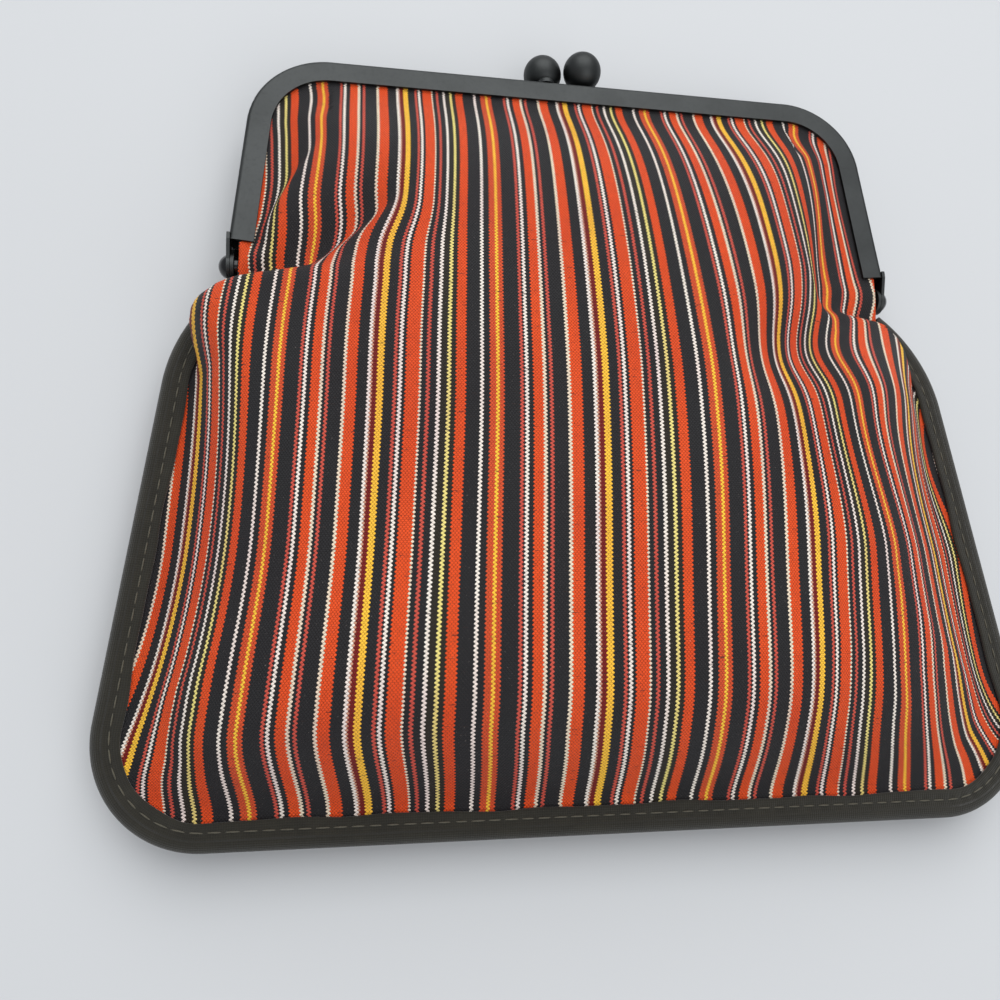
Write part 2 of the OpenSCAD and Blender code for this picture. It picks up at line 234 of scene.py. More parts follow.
@dataclass(frozen=True)
class Spread:
    """Widening of the stripes towards one side of the front cloth.

    Attributes:
        side: 1 for the right side, -1 for the left.
        growth: Drift over the square of the distance from its start, per millimetre.
        rise: Plan y at which it starts, and at which it is full.
        fall: Plan y at which it starts to fade, and at which it is gone.
        start: Distance from the middle line at which it starts.
    """

    side: int
    growth: float
    rise: tuple[float, float]
    fall: tuple[float, float]
    start: float = 15

    def at(self, x: Array, y: Array) -> Array:
        """Drift of the stripes at plan points, in millimetres of cloth."""
        rows = smooth(*self.rise, y) * (1 - smooth(*self.fall, y))
        return self.side * self.growth * rows * np.maximum(self.side * x - self.start, 0) ** 2


@dataclass
class PurseShape:
    """Sizes of the purse in millimetres.

    The sizes as far as neck_high have the names and values of the CAD source. The folds are close to those of
    the source, and what follows them belongs to the scene alone.

    Attributes:
        corner_blend: Distance over which the cloth margins along the frame meet in its corners.
        folds: Creases of the front cloth at the left hinge, beside and at the right hinge, and a tuck there.
        ridge: Low ridge beside the left crease.
        ridge_rise: Distances from the frame at which the ridge starts, and at which it is full.
        ripples: Low waves of the front cloth.
        overhang: Distance by which the left and the right shoulder roll out over the binding.
        overhang_rise: Share of that distance by which each of them also moves towards the clasp.
        overhang_from: Plan y at which the shoulders start to roll out, and at which they do so fully.
        overhang_to: Plan y at which that starts to fade, and at which it is gone.
        overhang_rim: Distances from the binding at which it starts, and at which it is full.
        overhang_inner: Distances from the binding at which it starts to fade, and at which it is gone.
        right_ease: Share by which the front cloth rises more slowly at the lower right.
        ease_side: Plan x at which that starts, and at which it is full.
        ease_rows: Plan y below which it is full, and above which it is gone.
        valley_r: Radius over which the valleys of the lower corners are rounded.
        ring_points: Points on the ring of that radius.
        arc_points: Points on each arc of the cloth's outline.
        tape_points: Points on each stretch of the tape's path, before they are spaced evenly.
    """

    frame_width: float = 150
    frame_rise: float = 50
    frame_lean: float = 5
    frame_corner_r: float = 18
    channel_face: float = 5.2
    channel_depth: float = 4
    sheet_t: float = 0.6
    parting_gap: float = 0.3
    channel_foot: float = 4.5
    ear_t: float = 0.7
    ear_gap: float = 0.1
    rivet_foot_t: float = 0.7
    body_flare: float = 20
    body_drop: float = 116.7
    corner_r: float = 21
    side_lean: float = 7
    shoulder_r: float = 35
    front_bulge: float = 22
    back_bulge: float = 9
    rim_swell: float = 11
    frame_swell: float = 15
    left_steep: float = 0.72
    right_steep: float = 0.2
    steep_blend: float = 40
    panel_t: float = 0.7
    lining_t: float = 0.4
    layer_gap: float = 0.15
    lining_slack: float = 9
    binding_w: float = 5.6
    tape_t: float = 0.6
    neck_drop: float = 4.1
    hinge_y: float = 28.3
    cloth_clearance: float = 0.2
    lining_delay: float = 4
    flat_press: float = 1.25
    frame_droop: float = 0.3
    side_droop: float = 0.2
    channel_share: float = 0.42
    swell_power: float = 1.5
    neck_blend: float = 3
    neck_high: float = 1
    corner_blend: float = 3
    folds: tuple[Fold, ...] = (
        Fold((-69.2, -8), 36, 42, 8, 7, 2.4, 1.4),
        Fold((57.2, -12.1), 86, 38, 8, 4.6, 5.1),
        Fold((69.2, -8), 206, 50, 8, 9, 10),
        Fold((70.5, -6.5), 236, 10, 6, 1.3, 2.6),
    )
    ridge: Fold = Fold((-67, 7), 59, 24, 3, 1.3, 6)
    ridge_rise: tuple[float, float] = (0, 5)
    ripples: tuple[Ripple, ...] = (Ripple(0.3, 7.1, 31), Ripple(0.35, -23, 9.7, 2), Ripple(0.2, 4.3, -15))
    overhang: tuple[float, float] = (9, 5.5)
    overhang_rise: tuple[float, float] = (0, 0.7)
    overhang_from: tuple[float, float] = (-28, -10)
    overhang_to: tuple[float, float] = (-11, -4)
    overhang_rim: tuple[float, float] = (0.4, 2.6)
    overhang_inner: tuple[float, float] = (3, 20)
    right_ease: float = 0.6
    ease_side: tuple[float, float] = (10, 80)
    ease_rows: tuple[float, float] = (-60, -20)
    valley_r: float = 9
    ring_points: int = 12
    arc_points: int = 40
    tape_points: int = 160

    def __post_init__(self) -> None:
        """Works out the outlines of the body and the frame."""
        self.bind_edge = 2 * self.layer_gap + self.lining_t + self.panel_t
        self.slot_half = self.bind_edge + self.layer_gap
        self.binding_half_t = self.slot_half + self.tape_t
        self.cloth_inset = self.binding_half_t + self.layer_gap
        self.half_high = self.parting_gap / 2 + self.channel_depth
        self.channel_edge = self.half_high - self.sheet_t - self.cloth_clearance
        self.channel_inset = self.channel_share * self.channel_face
        half = self.frame_width / 2
        self.half_body = half + self.body_flare
        self.corner_c = np.array([self.half_body - self.corner_r, self.corner_r - self.body_drop])
        self.side_n = turn(self.side_lean)
        self.side_up = turn(self.side_lean + 90)
        self.side_foot = self.corner_c + self.corner_r * self.side_n
        self.neck = np.array([half - self.ear_t, -self.neck_drop])
        to_foot = self.side_foot - self.shoulder_r * self.side_n - self.neck
        reach = math.sqrt(self.shoulder_r**2 - float(to_foot @ self.side_n) ** 2)
        self.side_length = -float(to_foot @ self.side_up) - reach
        self.shoulder_c = self.side_foot - self.shoulder_r * self.side_n + self.side_length * self.side_up
        away = self.neck - self.shoulder_c
        self.neck_angle = math.degrees(math.atan2(away[1], away[0]))
        lean = math.radians(self.frame_lean)
        self.arch_n = turn(self.frame_lean)
        self.arch_up = turn(self.frame_lean + 90)
        rise = self.frame_rise - self.frame_corner_r
        inward = (self.frame_corner_r + rise * math.sin(lean)) / math.cos(lean)
        self.arch_c = np.array([half - inward, rise])
        self.arch_bend = self.arch_c + self.frame_corner_r * self.arch_n
        self.arch_run = (self.arch_bend[1] - self.channel_foot) / math.cos(lean)
        self.arch_foot = self.arch_bend - self.arch_run * self.arch_up
        stack = 2 * self.ear_t + 1.5 * self.ear_gap + self.rivet_foot_t
        self.cloth_neck_x = half - stack - 2 * self.cloth_clearance
        self.channel_margin = self.channel_face + self.cloth_clearance
        self.bind_margin = self.binding_w + self.cloth_clearance
        self.neck_low = -self.neck_drop - self.neck_blend
        self.shoulder_low, self.shoulder_high = -self.body_drop / 2, -2 * self.neck_drop

    def bind_gap(self, x: Array, y: Array) -> Array:
        """Distance of points from the outer edge of the binding.

        Args:
            x: Plan x of the points, in millimetres.
            y: Plan y of the points, in millimetres.

        Returns:
            Distance of each point, positive inside.
        """
        lx, ly = x - self.corner_c[0], y - self.corner_c[1]
        hx, hy = x - self.shoulder_c[0], y - self.shoulder_c[1]
        outward = hx * self.side_n[0] + hy * self.side_n[1] > 0
        beside = outward & (np.degrees(np.arctan2(hy, hx)) <= self.neck_angle)
        off_neck = np.hypot(x - self.neck[0], y - self.neck[1])
        shoulder = np.where(beside, self.shoulder_r - np.hypot(hx, hy), off_neck)
        in_corner = (lx > 0) & (lx * self.side_up[0] + ly * self.side_up[1] < 0)
        flat = (self.side_foot[0] - x) * self.side_n[0] + (self.side_foot[1] - y) * self.side_n[1]
        flank = np.where(in_corner, self.corner_r - np.hypot(lx, ly), flat)
        high = hx * self.side_up[0] + hy * self.side_up[1] > 0
        return np.minimum(np.where(high, shoulder, flank), y + self.body_drop)

    def frame_gap(self, x: Array, y: Array) -> Array:
        """Distance of points from the flat cloth margin along the frame.

        Args:
            x: Plan x of the points, in millimetres.
            y: Plan y of the points, in millimetres.

        Returns:
            Distance of each point, 0 on the margin.
        """
        lx, ly = x - self.arch_foot[0], y - self.arch_foot[1]
        hx, hy = x - self.arch_c[0], y - self.arch_c[1]
        in_corner = (hx > 0) & (hx * self.arch_up[0] + hy * self.arch_up[1] > 0)
        flat = (self.arch_bend[0] - x) * self.arch_n[0] + (self.arch_bend[1] - y) * self.arch_n[1]
        flank = np.where(in_corner, self.frame_corner_r - np.hypot(hx, hy), flat)
        soft = self.corner_blend
        both = np.exp(-flank / soft) + np.exp((y - self.frame_rise) / soft)
        inside = -soft * np.log(both) - self.channel_margin
        margin = self.channel_margin * self.arch_n
        off_foot = np.hypot(lx + margin[0], ly + margin[1])
        below = lx * self.arch_up[0] + ly * self.arch_up[1] < 0
        return np.where(below, off_foot, np.maximum(inside, 0))

    def fullness(self, x: Array, y: Array, ease: float = 0) -> Array:
        """Fullness of the cloth, from 0 at its edges to 1 in the middle.

        Args:
            x: Plan x of the points, in millimetres.
            y: Plan y of the points, in millimetres.
            ease: Share by which the rise from the binding is slower at the lower right.

        Returns:
            Fullness of each point.
        """
        gap, low = self.bind_gap(np.abs(x), y), 1 - smooth(*self.ease_rows, y)
        if ease:
            angles = np.arange(self.ring_points) * 360 / self.ring_points
            around = [self.valley_r * turn(angle) for angle in angles]
            ring = [self.bind_gap(np.abs(x) + a, y + b) for a, b in around]
            gap = gap + (np.mean(ring, axis=0) - gap) * low * smooth(0, self.valley_r, gap - self.binding_w)
        gap = np.maximum(gap - self.bind_margin, 0)
        side = smooth(-self.steep_blend, self.steep_blend, x)
        steep = self.left_steep + (self.right_steep - self.left_steep) * side
        rim_reach = self.rim_swell * (1 - steep * smooth(self.shoulder_low, self.shoulder_high, y))
        rim_reach = rim_reach * (1 + ease * smooth(*self.ease_side, x) * low)
        frame_reach = self.frame_swell * (1 - steep * smooth(0, 2 * self.neck_low, y))
        gaps = (gap / rim_reach, self.frame_gap(np.abs(x), y) / frame_reach)
        rim, arch = (1 - np.exp(-(share**self.swell_power)) for share in gaps)
        return rim * arch

    def edge_level(self, y: Array, delay: float) -> Array:
        """Height of a cloth edge above the mid-plane."""
        step = smooth(self.neck_low + delay, self.neck_high + delay, y)
        return self.bind_edge + (self.channel_edge - self.bind_edge) * step

    def crown(self, x: Array, y: Array) -> Array:
        """Crown of the filled front without its folds."""
        droop = 1 - self.frame_droop * smooth(self.shoulder_low, self.frame_rise, y)
        return self.front_bulge * droop * (1 - self.side_droop * (x / self.half_body) ** 2)

    def panel_front(self, x: Array, y: Array) -> Array:
        """Face height of the front panel above the mid-plane.

        Args:
            x: Plan x of the points, in millimetres.
            y: Plan y of the points, in millimetres.

        Returns:
            Height of each point.
        """
        depth = np.max([f.depth_at(x, y) for f in self.folds], axis=0)
        edge, full = self.edge_level(y, 0), self.fullness(x, y, self.right_ease)
        near = smooth(*self.ridge_rise, self.frame_gap(np.abs(x), y))
        ripple = sum(wave.at(x, y) for wave in self.ripples)
        ridge = self.ridge.depth_at(x, y) * near
        return edge + (self.crown(x, y) - depth + ripple - edge) * full + ridge

    def bulge_out(self, x: Array, y: Array) -> tuple[Array, Array]:
        """Plan shift of the shoulders, where the full cloth rolls out over the binding.

        Args:
            x: Plan x of the points, in millimetres.
            y: Plan y of the points, in millimetres.

        Returns:
            Shift along x and along y.
        """
        gap = self.bind_gap(np.abs(x), y) - self.bind_margin
        rows = smooth(*self.overhang_from, y) * (1 - smooth(*self.overhang_to, y))
        band = smooth(*self.overhang_rim, gap) * (1 - smooth(*self.overhang_inner, gap))
        shift = np.where(x < 0, *self.overhang) * rows * band
        return np.sign(x) * shift, np.where(x < 0, *self.overhang_rise) * shift

    def lining_front(self, x: Array, y: Array) -> Array:
        """Face height of the front lining above the mid-plane.

        Args:
            x: Plan x of the points, in millimetres.
            y: Plan y of the points, in millimetres.

        Returns:
            Height of each point.
        """
        edge = self.edge_level(y, self.lining_delay)
        height = edge + (self.crown(x, y) - self.lining_slack - edge) * self.fullness(x, y, self.right_ease)
        return height - self.panel_t - self.layer_gap

    def panel_back(self, x: Array, y: Array) -> Array:
        """Face height of the back panel, which settles flat on the table.

        Args:
            x: Plan x of the points, in millimetres.
            y: Plan y of the points, in millimetres.

        Returns:
            Height of each point, negative.
        """
        edge = self.edge_level(y, 0)
        full = self.back_bulge * self.flat_press
        return -np.minimum(self.back_bulge, edge + (full - edge) * self.fullness(x, y))

    def lining_back(self, x: Array, y: Array) -> Array:
        """Face height of the back lining above the mid-plane.

        Args:
            x: Plan x of the points, in millimetres.
            y: Plan y of the points, in millimetres.

        Returns:
            Height of each point, negative.
        """
        edge = self.edge_level(y, self.lining_delay)
        height = edge + (self.back_bulge - edge) * self.fullness(x, y)
        return self.panel_t + self.layer_gap - np.minimum(self.back_bulge, height)

    def cloth_outline(self) -> tuple[Array, Array]:
        """Half widths of the cloth over its height.

        Returns:
            Matching arrays of y and x, from the bottom up.
        """
        inset, steps = self.cloth_inset, np.linspace(0, 1, self.arc_points)
        low = [self.corner_c + (self.corner_r - inset) * turn(-90 + t * (90 + self.side_lean)) for t in steps]
        spread = self.neck_angle - self.side_lean
        mid = [self.shoulder_c + (self.shoulder_r - inset) * turn(self.side_lean + t * spread) for t in steps]
        foot = self.arch_foot - self.channel_inset * self.arch_n
        arch_r, arch_turn = self.frame_corner_r - self.channel_inset, 90 - self.frame_lean
        high = [self.arch_c + arch_r * turn(self.frame_lean + t * arch_turn) for t in steps]
        points = np.array([*low, *mid, (self.cloth_neck_x, 0), foot, *high])
        return points[:, 1], points[:, 0]

    def tape_path(self, inset: float, pitch: float) -> tuple[Array, Array]:
        """Points along the binding at an inset from its outer edge, with their inward normals.

        Args:
            inset: Distance from the outer edge, in millimetres.
            pitch: Spacing of the points, in millimetres.

        Returns:
            Plan points from the right neck round the bottom to the left neck, and inward normals.
        """
        fine = np.linspace(0, 1, self.tape_points)
        shoulder = [turn(self.neck_angle + t * (self.side_lean - self.neck_angle)) for t in fine]
        corner = [turn(self.side_lean - t * (90 + self.side_lean)) for t in fine]
        foot, flank = self.side_foot - inset * self.side_n, self.side_length * self.side_up
        level, inward = inset - self.body_drop, np.array([0, 1])
        arcs = [
            *((self.shoulder_c + (self.shoulder_r - inset) * d, -d) for d in shoulder),
            *((foot + flank * (1 - t), -self.side_n) for t in fine),
            *((self.corner_c + (self.corner_r - inset) * d, -d) for d in corner),
            *((np.array([self.corner_c[0] * (1 - t), level]), inward) for t in fine),
        ]
        half = np.array([p for p, _ in arcs])
        side = np.array([n for _, n in arcs])
        flip = np.array([-1, 1])
        points = np.concatenate([half, half[-2::-1] * flip])
        normals = np.concatenate([side, side[-2::-1] * flip])
        length = run_length(points)
        at = np.linspace(0, length[-1], int(length[-1] / pitch))
        points = np.stack([np.interp(at, length, points[:, i]) for i in (0, 1)], axis=1)
        normals = np.stack([np.interp(at, length, normals[:, i]) for i in (0, 1)], axis=1)
        return points, normals / np.linalg.norm(normals, axis=1, keepdims=True)

    def place(self, points: Array) -> Array:
        """Row-frame metres of points given in millimetres around the hinge axis."""
        return (np.asarray(points, float) + [0, self.hinge_y, self.back_bulge]) * MM


class Sock:
    """Shader socket with arithmetic, so that patterns read as formulas."""

    def __init__(self, tree: bpy.types.NodeTree, out: bpy.types.NodeSocket) -> None:
        """Wraps an output socket of a node tree."""
        self.tree, self.out = tree, out

    def op(self, name: str, *others: "Sock | float") -> "Sock":
        """Applies a Math node to this socket.

        Args:
            name: Operation of the node.
            others: Its further operands.

        Returns:
            Result of the node.
        """
        n = self.tree.nodes.new("ShaderNodeMath")
        n.operation = name
        for i, value in enumerate((self, *others)):
            feed(self.tree, n.inputs[i], value)
        return Sock(self.tree, n.outputs[0])

    def const(self, value: float) -> "Sock":
        """Makes a constant in the same tree.

        Args:
            value: Number that it holds.

        Returns:
            The constant as a socket.
        """
        n = self.tree.nodes.new("ShaderNodeValue")
        n.outputs[0].default_value = value
        return Sock(self.tree, n.outputs[0])

    def __add__(self, o: "Sock | float") -> "Sock":
        """Sum."""
        return self.op("ADD", o)

    def __mul__(self, o: "Sock | float") -> "Sock":
        """Product."""
        return self.op("MULTIPLY", o)

    def __sub__(self, o: "Sock | float") -> "Sock":
        """Difference."""
        return self.op("SUBTRACT", o)

    def __rsub__(self, o: float) -> "Sock":
        """Difference from a number."""
        return self.const(o).op("SUBTRACT", self)

    def __truediv__(self, o: "Sock | float") -> "Sock":
        """Quotient."""
        return self.op("DIVIDE", o)

    def floor(self) -> "Sock":
        """Whole part."""
        return self.op("FLOOR")

    def fract(self) -> "Sock":
        """Fraction part."""
        return self.op("FRACT")

    def wave(self) -> "Sock":
        """Cosine of the value taken in half turns."""
        return (self * math.pi).op("COSINE")

    def ramp(self, low: float, high: float) -> "Sock":
        """Smooth step over the value.

        Args:
            low: Value at which it is 0.
            high: Value at which it is 1.

        Returns:
            The step, from 0 to 1.
        """
        n = self.tree.nodes.new("ShaderNodeMapRange")
        n.interpolation_type = "SMOOTHSTEP"
        for key, value in {"Value": self, "From Min": low, "From Max": high}.items():
            feed(self.tree, n.inputs[key], value)
        return Sock(self.tree, n.outputs["Result"])


def feed(tree: bpy.types.NodeTree, target: bpy.types.NodeSocket, value: "Sock | float | tuple") -> None:
    """Links a socket to an input of a node, or sets the input to a plain value.

    Args:
        tree: Tree of the node.
        target: Input of the node.
        value: Socket, number or tuple.
    """
    if isinstance(value, Sock):
        tree.links.new(value.out, target)
    else:
        target.default_value = value


class Shader:
    """Material under construction, with one method for every kind of node."""

    noise_roughness: float = 0.55

    def __init__(self, name: str) -> None:
        """Starts a material with a principled shader and an output.

        Args:
            name: Name of the material.
        """
        self.material = bpy.data.materials.new(name)
        self.material.use_nodes = True
        self.tree = self.material.node_tree
        self.tree.nodes.clear()
        self.body = self.tree.nodes.new("ShaderNodeBsdfPrincipled")
        out = self.tree.nodes.new("ShaderNodeOutputMaterial")
        self.tree.links.new(self.body.outputs[0], out.inputs["Surface"])

    def node(self, kind: str, settings: dict | None = None, sockets: dict | None = None) -> bpy.types.Node:
        """Adds a node.

        Args:
            kind: Type of the node.
            settings: Values of its properties.
            sockets: Values of its inputs, each a number, a tuple or a Sock.

        Returns:
            The new node.
        """
        n = self.tree.nodes.new(kind)
        for key, value in (settings or {}).items():
            setattr(n, key, value)
        for key, value in (sockets or {}).items():
            feed(self.tree, n.inputs[key], value)
        return n

    def sock(self, n: bpy.types.Node, out: str | int = 0) -> Sock:
        """Output of a node as a socket with arithmetic."""
        return Sock(self.tree, n.outputs[out])

    def uv(self) -> tuple[Sock, Sock]:
        """Cloth coordinates across and along the warp, in millimetres."""
        split = self.node("ShaderNodeSeparateXYZ", sockets={0: self.sock(self.node("ShaderNodeUVMap"))})
        return self.sock(split, 0), self.sock(split, 1)

    def point(self) -> Sock:
        """Object coordinates, in metres."""
        return self.sock(self.node("ShaderNodeTexCoord"), "Object")

    def noise(self, scale: float, detail: float, vector: Sock | None = None) -> Sock:
        """Adds noise.

        Args:
            scale: Scale of the noise.
            detail: Number of its finer layers.
            vector: Coordinates that it lies over, or None for object coordinates.

        Returns:
            Noise from 0 to 1.
        """
        n = self.node("ShaderNodeTexNoise", sockets={
            "Vector": vector or self.point(), "Scale": scale, "Detail": detail,
            "Roughness": self.noise_roughness})
        return self.sock(n, 0)

    def vector(self, x: Sock | float, y: Sock | float, z: Sock | float = 0.0) -> Sock:
        """Vector of three values."""
        return self.sock(self.node("ShaderNodeCombineXYZ", sockets={0: x, 1: y, 2: z}))

    def mix(self, factor: Sock | float, a: "Sock | tuple", b: "Sock | tuple", blend: str = "MIX") -> Sock:
        """Mix of two colours."""
        n = self.node("ShaderNodeMix", {"data_type": "RGBA", "blend_type": blend}, {0: factor, 6: a, 7: b})
        return self.sock(n, 2)

    def steps(self, factor: Sock, stops: list[tuple[float, tuple]]) -> Sock:
        """Adds colours that change in steps.

        Args:
            factor: Place on the scale, from 0 to 1.
            stops: Start of each step, and its colour.

        Returns:
            Colour at that place.
        """
        n = self.node("ShaderNodeValToRGB", sockets={0: factor})
        ramp = n.color_ramp
        ramp.interpolation = "CONSTANT"
        while len(ramp.elements) < len(stops):
            ramp.elements.new(1.0)
        for element, (at, colour) in zip(ramp.elements, stops):
            element.position, element.color = at, colour
        return self.sock(n, 0)

    def bump(self, height: Sock, distance: float, strength: float) -> Sock:
        """Bumped normal from a height of 0 to 1 and the metres that 1 stands for."""
        return self.sock(self.node("ShaderNodeBump", sockets={
            "Height": height, "Distance": distance, "Strength": strength}))

    def finish(self, **sockets: "Sock | float | tuple") -> bpy.types.Material:
        """Sets inputs of the principled shader.

        Args:
            sockets: Values by the names of the inputs, with underscores for spaces.

        Returns:
            The finished material.
        """
        for key, value in sockets.items():
            feed(self.tree, self.body.inputs[key.replace("_", " ")], value)
        return self.material


@dataclass(frozen=True)
class Mottle:
    """Noise over a cloth, stretched along its threads.

    Attributes:
        scale: Scale of the noise.
        detail: Number of its finer layers.
        across: Factor of the coordinate across the threads.
        along: Factor of the coordinate along the threads.
        step: Values at which a smooth step over the noise starts and ends, or None for plain noise.
    """

    scale: float
    detail: float
    across: float = 1
    along: float = 1
    step: tuple[float, float] | None = None

    def over(self, sh: Shader, across: Sock, along: Sock) -> Sock:
        """Lays the noise over a cloth.

        Args:
            sh: Material under construction.
            across: Coordinate across the threads.
            along: Coordinate along the threads.

        Returns:
            The noise or its step, from 0 to 1.
        """
        value = sh.noise(self.scale, self.detail, sh.vector(across * self.across, along * self.along))
        return value.ramp(*self.step) if self.step else value


@dataclass(frozen=True)
class StripedCloth:
    """Warp-striped plain weave, with a dark weft that shows between the floats.

    Attributes:
        repeat: Width of one stripe repeat, in millimetres.
        weft: Spacing of the weft threads, in millimetres.
        middle: Thread count from the start of the repeat to the yellow stripe on the middle line.
        sway: Share of a thread by which its edges move as it floats over and dips under the weft.
        wander: Unevenness of the crossings along each warp thread.
        wander_share: Share of the weft spacing by which a crossing is off.
        tone: Unevenness of each warp thread's colour.
        tone_low: Least brightness of a warp thread.
        tone_range: Spread of that brightness.
        shot_shade: Wide patches of painted shade, where the cloth is painted duller and redder as its sheen
            turns away from the light.
        shot_shade_share: Strength of that painted shade.
        shot_shade_tint: Colour factor of that painted shade.
        gap_width: Share of the gaps beside a float in what shows of the weft.
        under_step: Values between which the weft comes out from under the warp.
        weft_tone: Unevenness of the weft's colour.
        weft_dark: Darkest weft colour.
        weft_light: Lightest weft colour.
        weft_share: Share of the weft where it shows most.
        weft_stain: Share of the warp's colour that the weft takes on.
        slub: Short thick places of the weft.
        slub_share: Strength of a slub.
        slub_rgb: Colour of a slub.
        fleck: Pale flecks of fibre.
        fleck_share: Strength of a fleck.
        fleck_rgb: Colour of a fleck.
        relief: Shares of a thread's roundness, its float and the open gaps in the height of the weave.
        relief_height: Height of the weave, in millimetres.
        step_slack: Distance before a stripe at which its colour is already read.
        threads: Colours and thread counts of one repeat.
    """

    repeat: float = 44
    weft: float = 0.39
    middle: float = 8
    sway: float = 0.42
    wander: Mottle = Mottle(0.35, 2, 7.3, 0.2)
    wander_share: float = 0.4
    tone: Mottle = Mottle(1.0, 1, 3.7, 0.6)
    tone_low: float = 0.88
    tone_range: float = 0.5
    shot_shade: Mottle = Mottle(0.03, 2, step=(0.4, 0.66))
    shot_shade_share: float = 0.45
    shot_shade_tint: tuple[float, float, float, float] = (0.8, 0.62, 0.72, 1)
    gap_width: float = 0.7
    under_step: tuple[float, float] = (0.1, 1.0)
    weft_tone: Mottle = Mottle(6, 1, 2, 0.1)
    weft_dark: tuple[int, int, int] = (24, 20, 20)
    weft_light: tuple[int, int, int] = (52, 40, 36)
    weft_share: float = 0.85
    weft_stain: float = 0.3
    slub: Mottle = Mottle(1.0, 2, 0.4, 2.4, (0.655, 0.71))
    slub_share: float = 0.75
    slub_rgb: tuple[int, int, int] = (46, 34, 32)
    fleck: Mottle = Mottle(2.6, 1, step=(0.68, 0.78))
    fleck_share: float = 0.22
    fleck_rgb: tuple[int, int, int] = (168, 156, 148)
    relief: tuple[float, float, float] = (0.5, 0.3, 0.2)
    relief_height: float = 0.16
    step_slack: float = 1e-4
    threads: tuple[tuple[Yarn, int], ...] = (
        (Yarn.WHITE, 2), (Yarn.TAN, 1), (Yarn.DARK_RED, 3), (Yarn.YELLOW, 4), (Yarn.BLACK, 6),
        (Yarn.DULL_RED, 2), (Yarn.BLACK, 1), (Yarn.WHITE, 2), (Yarn.BLACK, 2), (Yarn.ORANGE, 7),
        (Yarn.CREAM, 2), (Yarn.BLACK, 3), (Yarn.DULL_RED, 2), (Yarn.BLACK, 4), (Yarn.WHITE, 2),
        (Yarn.OLIVE, 4), (Yarn.LEMON, 2), (Yarn.OLIVE, 3), (Yarn.ORANGE, 6), (Yarn.BLACK, 9),
        (Yarn.WHITE, 2), (Yarn.BLACK, 4), (Yarn.RED, 3), (Yarn.YELLOW, 3), (Yarn.RED, 3),
        (Yarn.BLACK, 10), (Yarn.DULL_RED, 2), (Yarn.BLACK, 1), (Yarn.WHITE, 2), (Yarn.BLACK, 3),
        (Yarn.ORANGE, 6), (Yarn.CREAM, 2), (Yarn.BLACK, 2), (Yarn.DULL_RED, 2), (Yarn.BLACK, 9),
        (Yarn.CREAM, 2), (Yarn.ORANGE, 6), (Yarn.BLACK, 8),
    )

    @property
    def count(self) -> int:
        """Threads in one repeat."""
        return sum(n for _, n in self.threads)

    def stripes(self, sh: Shader, place: Sock) -> Sock:
        """Lays out the stripes, on two scales because one holds too few steps.

        Args:
            sh: Material under construction.
            place: Place in the repeat, from 0 to 1.

        Returns:
            Colour of the warp at that place.
        """
        ends = np.cumsum([0, *(n for _, n in self.threads)]) / self.count
        stops = [(float(e), linear(y.value)) for e, (y, _) in zip(ends, self.threads)]
        half = next(i for i, (e, _) in enumerate(stops) if e >= 0.5)
        low = sh.steps(place, stops[:half])
        high = sh.steps(place, [(0.0, stops[half - 1][1]), *stops[half:]])
        return sh.mix(place.op("GREATER_THAN", stops[half][0] - self.step_slack), low, high)

    def build(self) -> bpy.types.Material:
        """Builds the cloth with its stripes, weave, slubs and a soft sheen.

        Returns:
            The finished material.
        """
        sh = Shader("striped_cloth")
        across, along = sh.uv()
        thread = across / (self.repeat / self.count) + self.middle
        wobble = self.wander.over(sh, thread.floor(), along) - 0.5
        rise = along / self.weft + wobble * self.wander_share
        edge = (thread + 0.5).floor()
        swayed = thread + (rise + edge).wave() * self.sway
        index = swayed.floor()
        colours = self.stripes(sh, ((index + 0.5) / self.count).fract())
        tone = self.tone.over(sh, index, along) * self.tone_range + self.tone_low
        warp = sh.mix(1.0, colours, sh.vector(tone, tone, tone), "MULTIPLY")
        # Painted shade: wide noise patches darken the warp and turn it redder, standing in for the sheen
        # turning away from the light.
        shot_shade = self.shot_shade.over(sh, across, along) * self.shot_shade_share
        warp = sh.mix(shot_shade, warp, sh.mix(1.0, warp, self.shot_shade_tint, "MULTIPLY"))
        lift = (rise + index).wave()
        off_middle = (swayed.fract() - 0.5) * 2
        belly = 1 - off_middle * off_middle
        under = (lift * -1 + (1 - belly) * self.gap_width).ramp(*self.under_step)
        weft_tone = self.weft_tone.over(sh, along, across)
        weft = sh.mix(weft_tone, linear(self.weft_dark), linear(self.weft_light))
        colour = sh.mix(under * self.weft_share, warp, sh.mix(self.weft_stain, weft, warp))
        slub = self.slub.over(sh, across, along) * self.slub_share
        colour = sh.mix(slub, colour, linear(self.slub_rgb))
        fleck = self.fleck.over(sh, across, along) * self.fleck_share
        colour = sh.mix(fleck, colour, linear(self.fleck_rgb))
        roundness, float_lift, open_gap = self.relief
        height = belly * roundness + lift * float_lift + (1 - under) * open_gap
        return sh.finish(
            Base_Color=colour, Roughness=0.6, Sheen_Weight=0.03, Sheen_Roughness=0.5, Specular_IOR_Level=0.25,
            Normal=sh.bump(height, self.relief_height * MM, strength=0.8))


